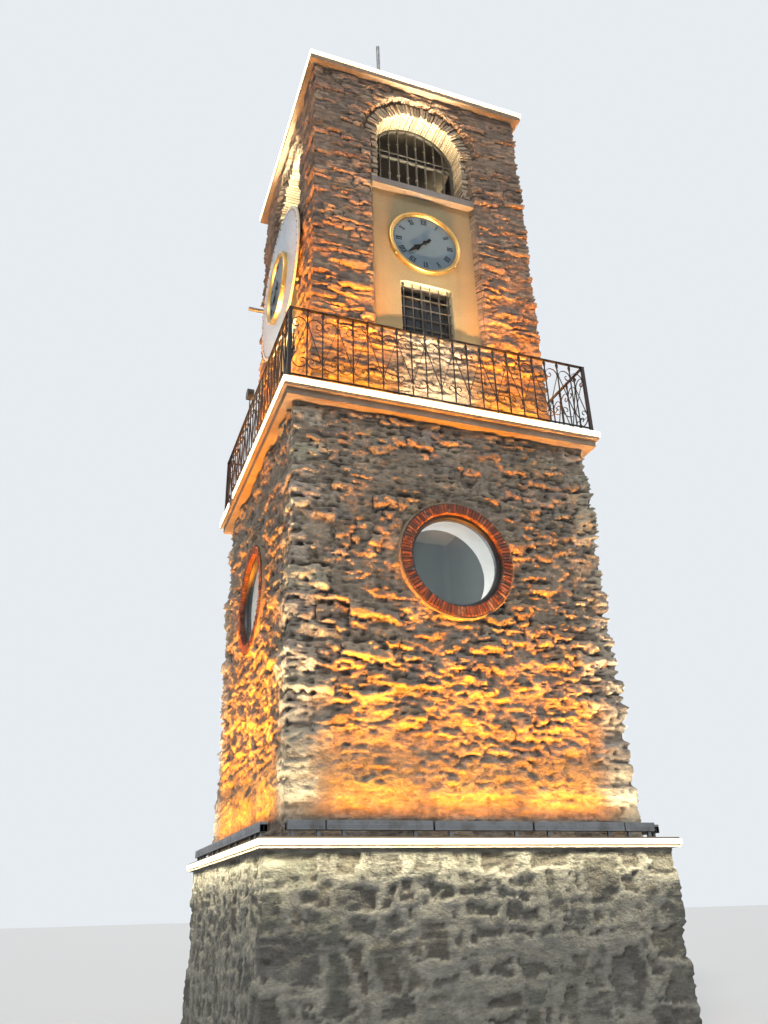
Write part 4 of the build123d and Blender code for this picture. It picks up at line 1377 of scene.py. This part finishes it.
# Lights. A beam has its length and width, tilt from upright towards the wall, spread, power and colour
AMBER = (1.0, 0.32, 0.010)
YELLOW_AMBER = (1.0, 0.42, 0.015)
PALE_AMBER = (1.0, 0.66, 0.26)
WARM_WHITE = (1.0, 0.88, 0.58)
COOL_WHITE = (0.93, 0.97, 1.0)
BEAMS = {
    "ledge_wash": (0.86, 0.05, 9, 42, 36, AMBER),
    "ledge_glow": (0.80, 0.05, 26, 70, 9, YELLOW_AMBER),
    "balcony_wash": (0.92, 0.05, 9, 42, 34, AMBER),
    "balcony_glow": (0.90, 0.05, 26, 70, 8, YELLOW_AMBER),
    "white_wash": (0.92, 0.05, 9, 42, 20, WARM_WHITE),
    "white_glow": (0.90, 0.05, 26, 70, 12, WARM_WHITE),
    "corner_wash": (0.32, 0.05, 8, 30, 5.0, WARM_WHITE),
    "corner_glow": (0.32, 0.05, 26, 50, 1.8, WARM_WHITE),
    "belfry_wash": (0.88, 0.04, -16, 70, 24, WARM_WHITE),
    "panel_glow": (2 * PANEL_HALF, 0.04, 30, 90, 2.2, PALE_AMBER),
    "brow_wash": (0.9, 0.03, 3, 34, 11, WARM_WHITE),
    "strip_wash": (2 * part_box("ledge_light_strip")[1].x, 0.03, 158, 80, 22, WARM_WHITE),
}
WASH_OUT = 0.12
BEAM_DROP = 0.010
ROOM_POWER = 240


def add_light(name, kind, power, color, **values):
    """A lamp with its colour and sizes. Returns the object that holds it."""
    lamp = bpy.data.lights.new(name, kind)
    lamp.energy = power
    lamp.color = color
    for key, value in values.items():
        setattr(lamp, key, value)
    holder = bpy.data.objects.new(name, lamp)
    bpy.context.scene.collection.objects.link(holder)
    return holder


def add_sun(name, azimuth, elevation, strength, color, softness):
    """Soft light from a direction: azimuth 0 shines from the front, 90 from the right."""
    a, e = math.radians(azimuth), math.radians(elevation)
    towards = Vector((math.sin(a) * math.cos(e), -math.cos(a) * math.cos(e), math.sin(e)))
    holder = add_light(name, "SUN", strength, color, angle=math.radians(softness))
    holder.rotation_euler = towards.to_track_quat("Z", "Y").to_euler()


def add_beam(name, side, place, beam):
    """Beam of one of the tower's own lamps, on a place along, out and up on a side."""
    length, width, tilt, spread, power, color = BEAMS[beam]
    k = SIDES.index(side)
    x_axis = Vector(ALONG[k])
    ahead = Vector(UP * math.cos(math.radians(tilt)) - OUTWARD[k] * math.sin(math.radians(tilt)))
    turn = Matrix((x_axis, (-ahead).cross(x_axis), -ahead)).transposed().to_4x4()
    holder = add_light(
        name, "AREA", power, color, shape="RECTANGLE", size=length, size_y=width, spread=math.radians(spread)
    )
    holder.matrix_world = Matrix.Translation(Vector(on_side(side, *place))) @ turn
    holder.visible_camera = False


def light_tower():
    """Two beams for each wall washer, one up the wall and one on its foot, and one for each other light."""
    ledge, balcony, belfry = [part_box(node)[1] for node in ("wall_washers", "balcony_washers", "belfry_lamps")]
    strip_low, strip_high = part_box("ledge_light_strip")
    beam_starts = (("wash", WASH_OUT), ("glow", -LAMP_WIDTH / 2))
    for side in SIDES:
        for i in (-1, 0, 1):
            for (kind, shift), (level, top) in itertools.product(
                beam_starts, (("ledge", ledge), ("balcony", balcony))
            ):
                beam = f"white_{kind}" if level == "balcony" and i == 0 else f"{level}_{kind}"
                place = (LAMP_PITCH * i, top.x + shift, top.z - BEAM_DROP)
                add_beam(f"{level}_{kind}_{side}_{i + 2}", side, place, beam)
        for hand, (kind, shift) in itertools.product((-1, 1), beam_starts):
            place = (hand * CORNER_LAMP, ledge.x + shift, ledge.z - BEAM_DROP)
            add_beam(f"corner_{kind}_{side}_{hand + 2}", side, place, f"corner_{kind}")
        for beam, out, up in (
            ("belfry_wash", belfry.x - 0.030, belfry.z - 0.006),
            ("panel_glow", UPPER_HALF + 0.050, WINDOW_FOOT - 0.060),
            ("brow_wash", UPPER_HALF + 0.035, SILL_TOP + 0.03),
        ):
            add_beam(f"{beam}_{side}", side, (0, out, up), beam)
    for side in SIDES:
        add_beam(f"strip_wash_{side}", side, (0, strip_high.x + 0.004, strip_low.z - 0.004), "strip_wash")


add_sun("key_light", -38, 42, 1.8, (1.0, 0.97, 0.92), 12)
add_sun("side_light", 60, 25, 0.7, (0.95, 0.97, 1.0), 25)
add_sun("back_light", 170, 40, 0.9, (1.0, 1.0, 1.0), 25)
light_tower()
room_light = add_light("room_light", "POINT", ROOM_POWER, COOL_WHITE, shadow_soft_size=0.25)
room_light.location = (0, 0, OCULUS_Z + 0.2)

# Camera, where the photograph was taken from: at eye height, about 10 m from the tower's middle
CAMERA_PLACE = (-3.620, -9.275, 1.571)
CAMERA_YAW, CAMERA_PITCH, CAMERA_ROLL = -20.6134, 25.59, -1.6092
CAMERA_LENS = 29.18


def build_camera():
    yaw, pitch, roll = [math.radians(angle) for angle in (CAMERA_YAW, CAMERA_PITCH, CAMERA_ROLL)]
    forward = Vector((-math.sin(yaw) * math.cos(pitch), math.cos(yaw) * math.cos(pitch), math.sin(pitch)))
    level = Vector((math.cos(yaw), math.sin(yaw), 0))
    over = level.cross(forward)
    right = level * math.cos(roll) + over * math.sin(roll)
    up = over * math.cos(roll) - level * math.sin(roll)
    lens = bpy.data.cameras.new("camera")
    lens.sensor_fit = "VERTICAL"
    lens.sensor_height = 36
    lens.lens = CAMERA_LENS
    lens.clip_end = 500
    holder = bpy.data.objects.new("camera", lens)
    turn = Matrix((right, up, -forward)).transposed().to_4x4()
    holder.matrix_world = Matrix.Translation(CAMERA_PLACE) @ turn
    bpy.context.scene.collection.objects.link(holder)
    bpy.context.scene.camera = holder


build_camera()
bpy.context.scene.view_settings.view_transform = "Standard"
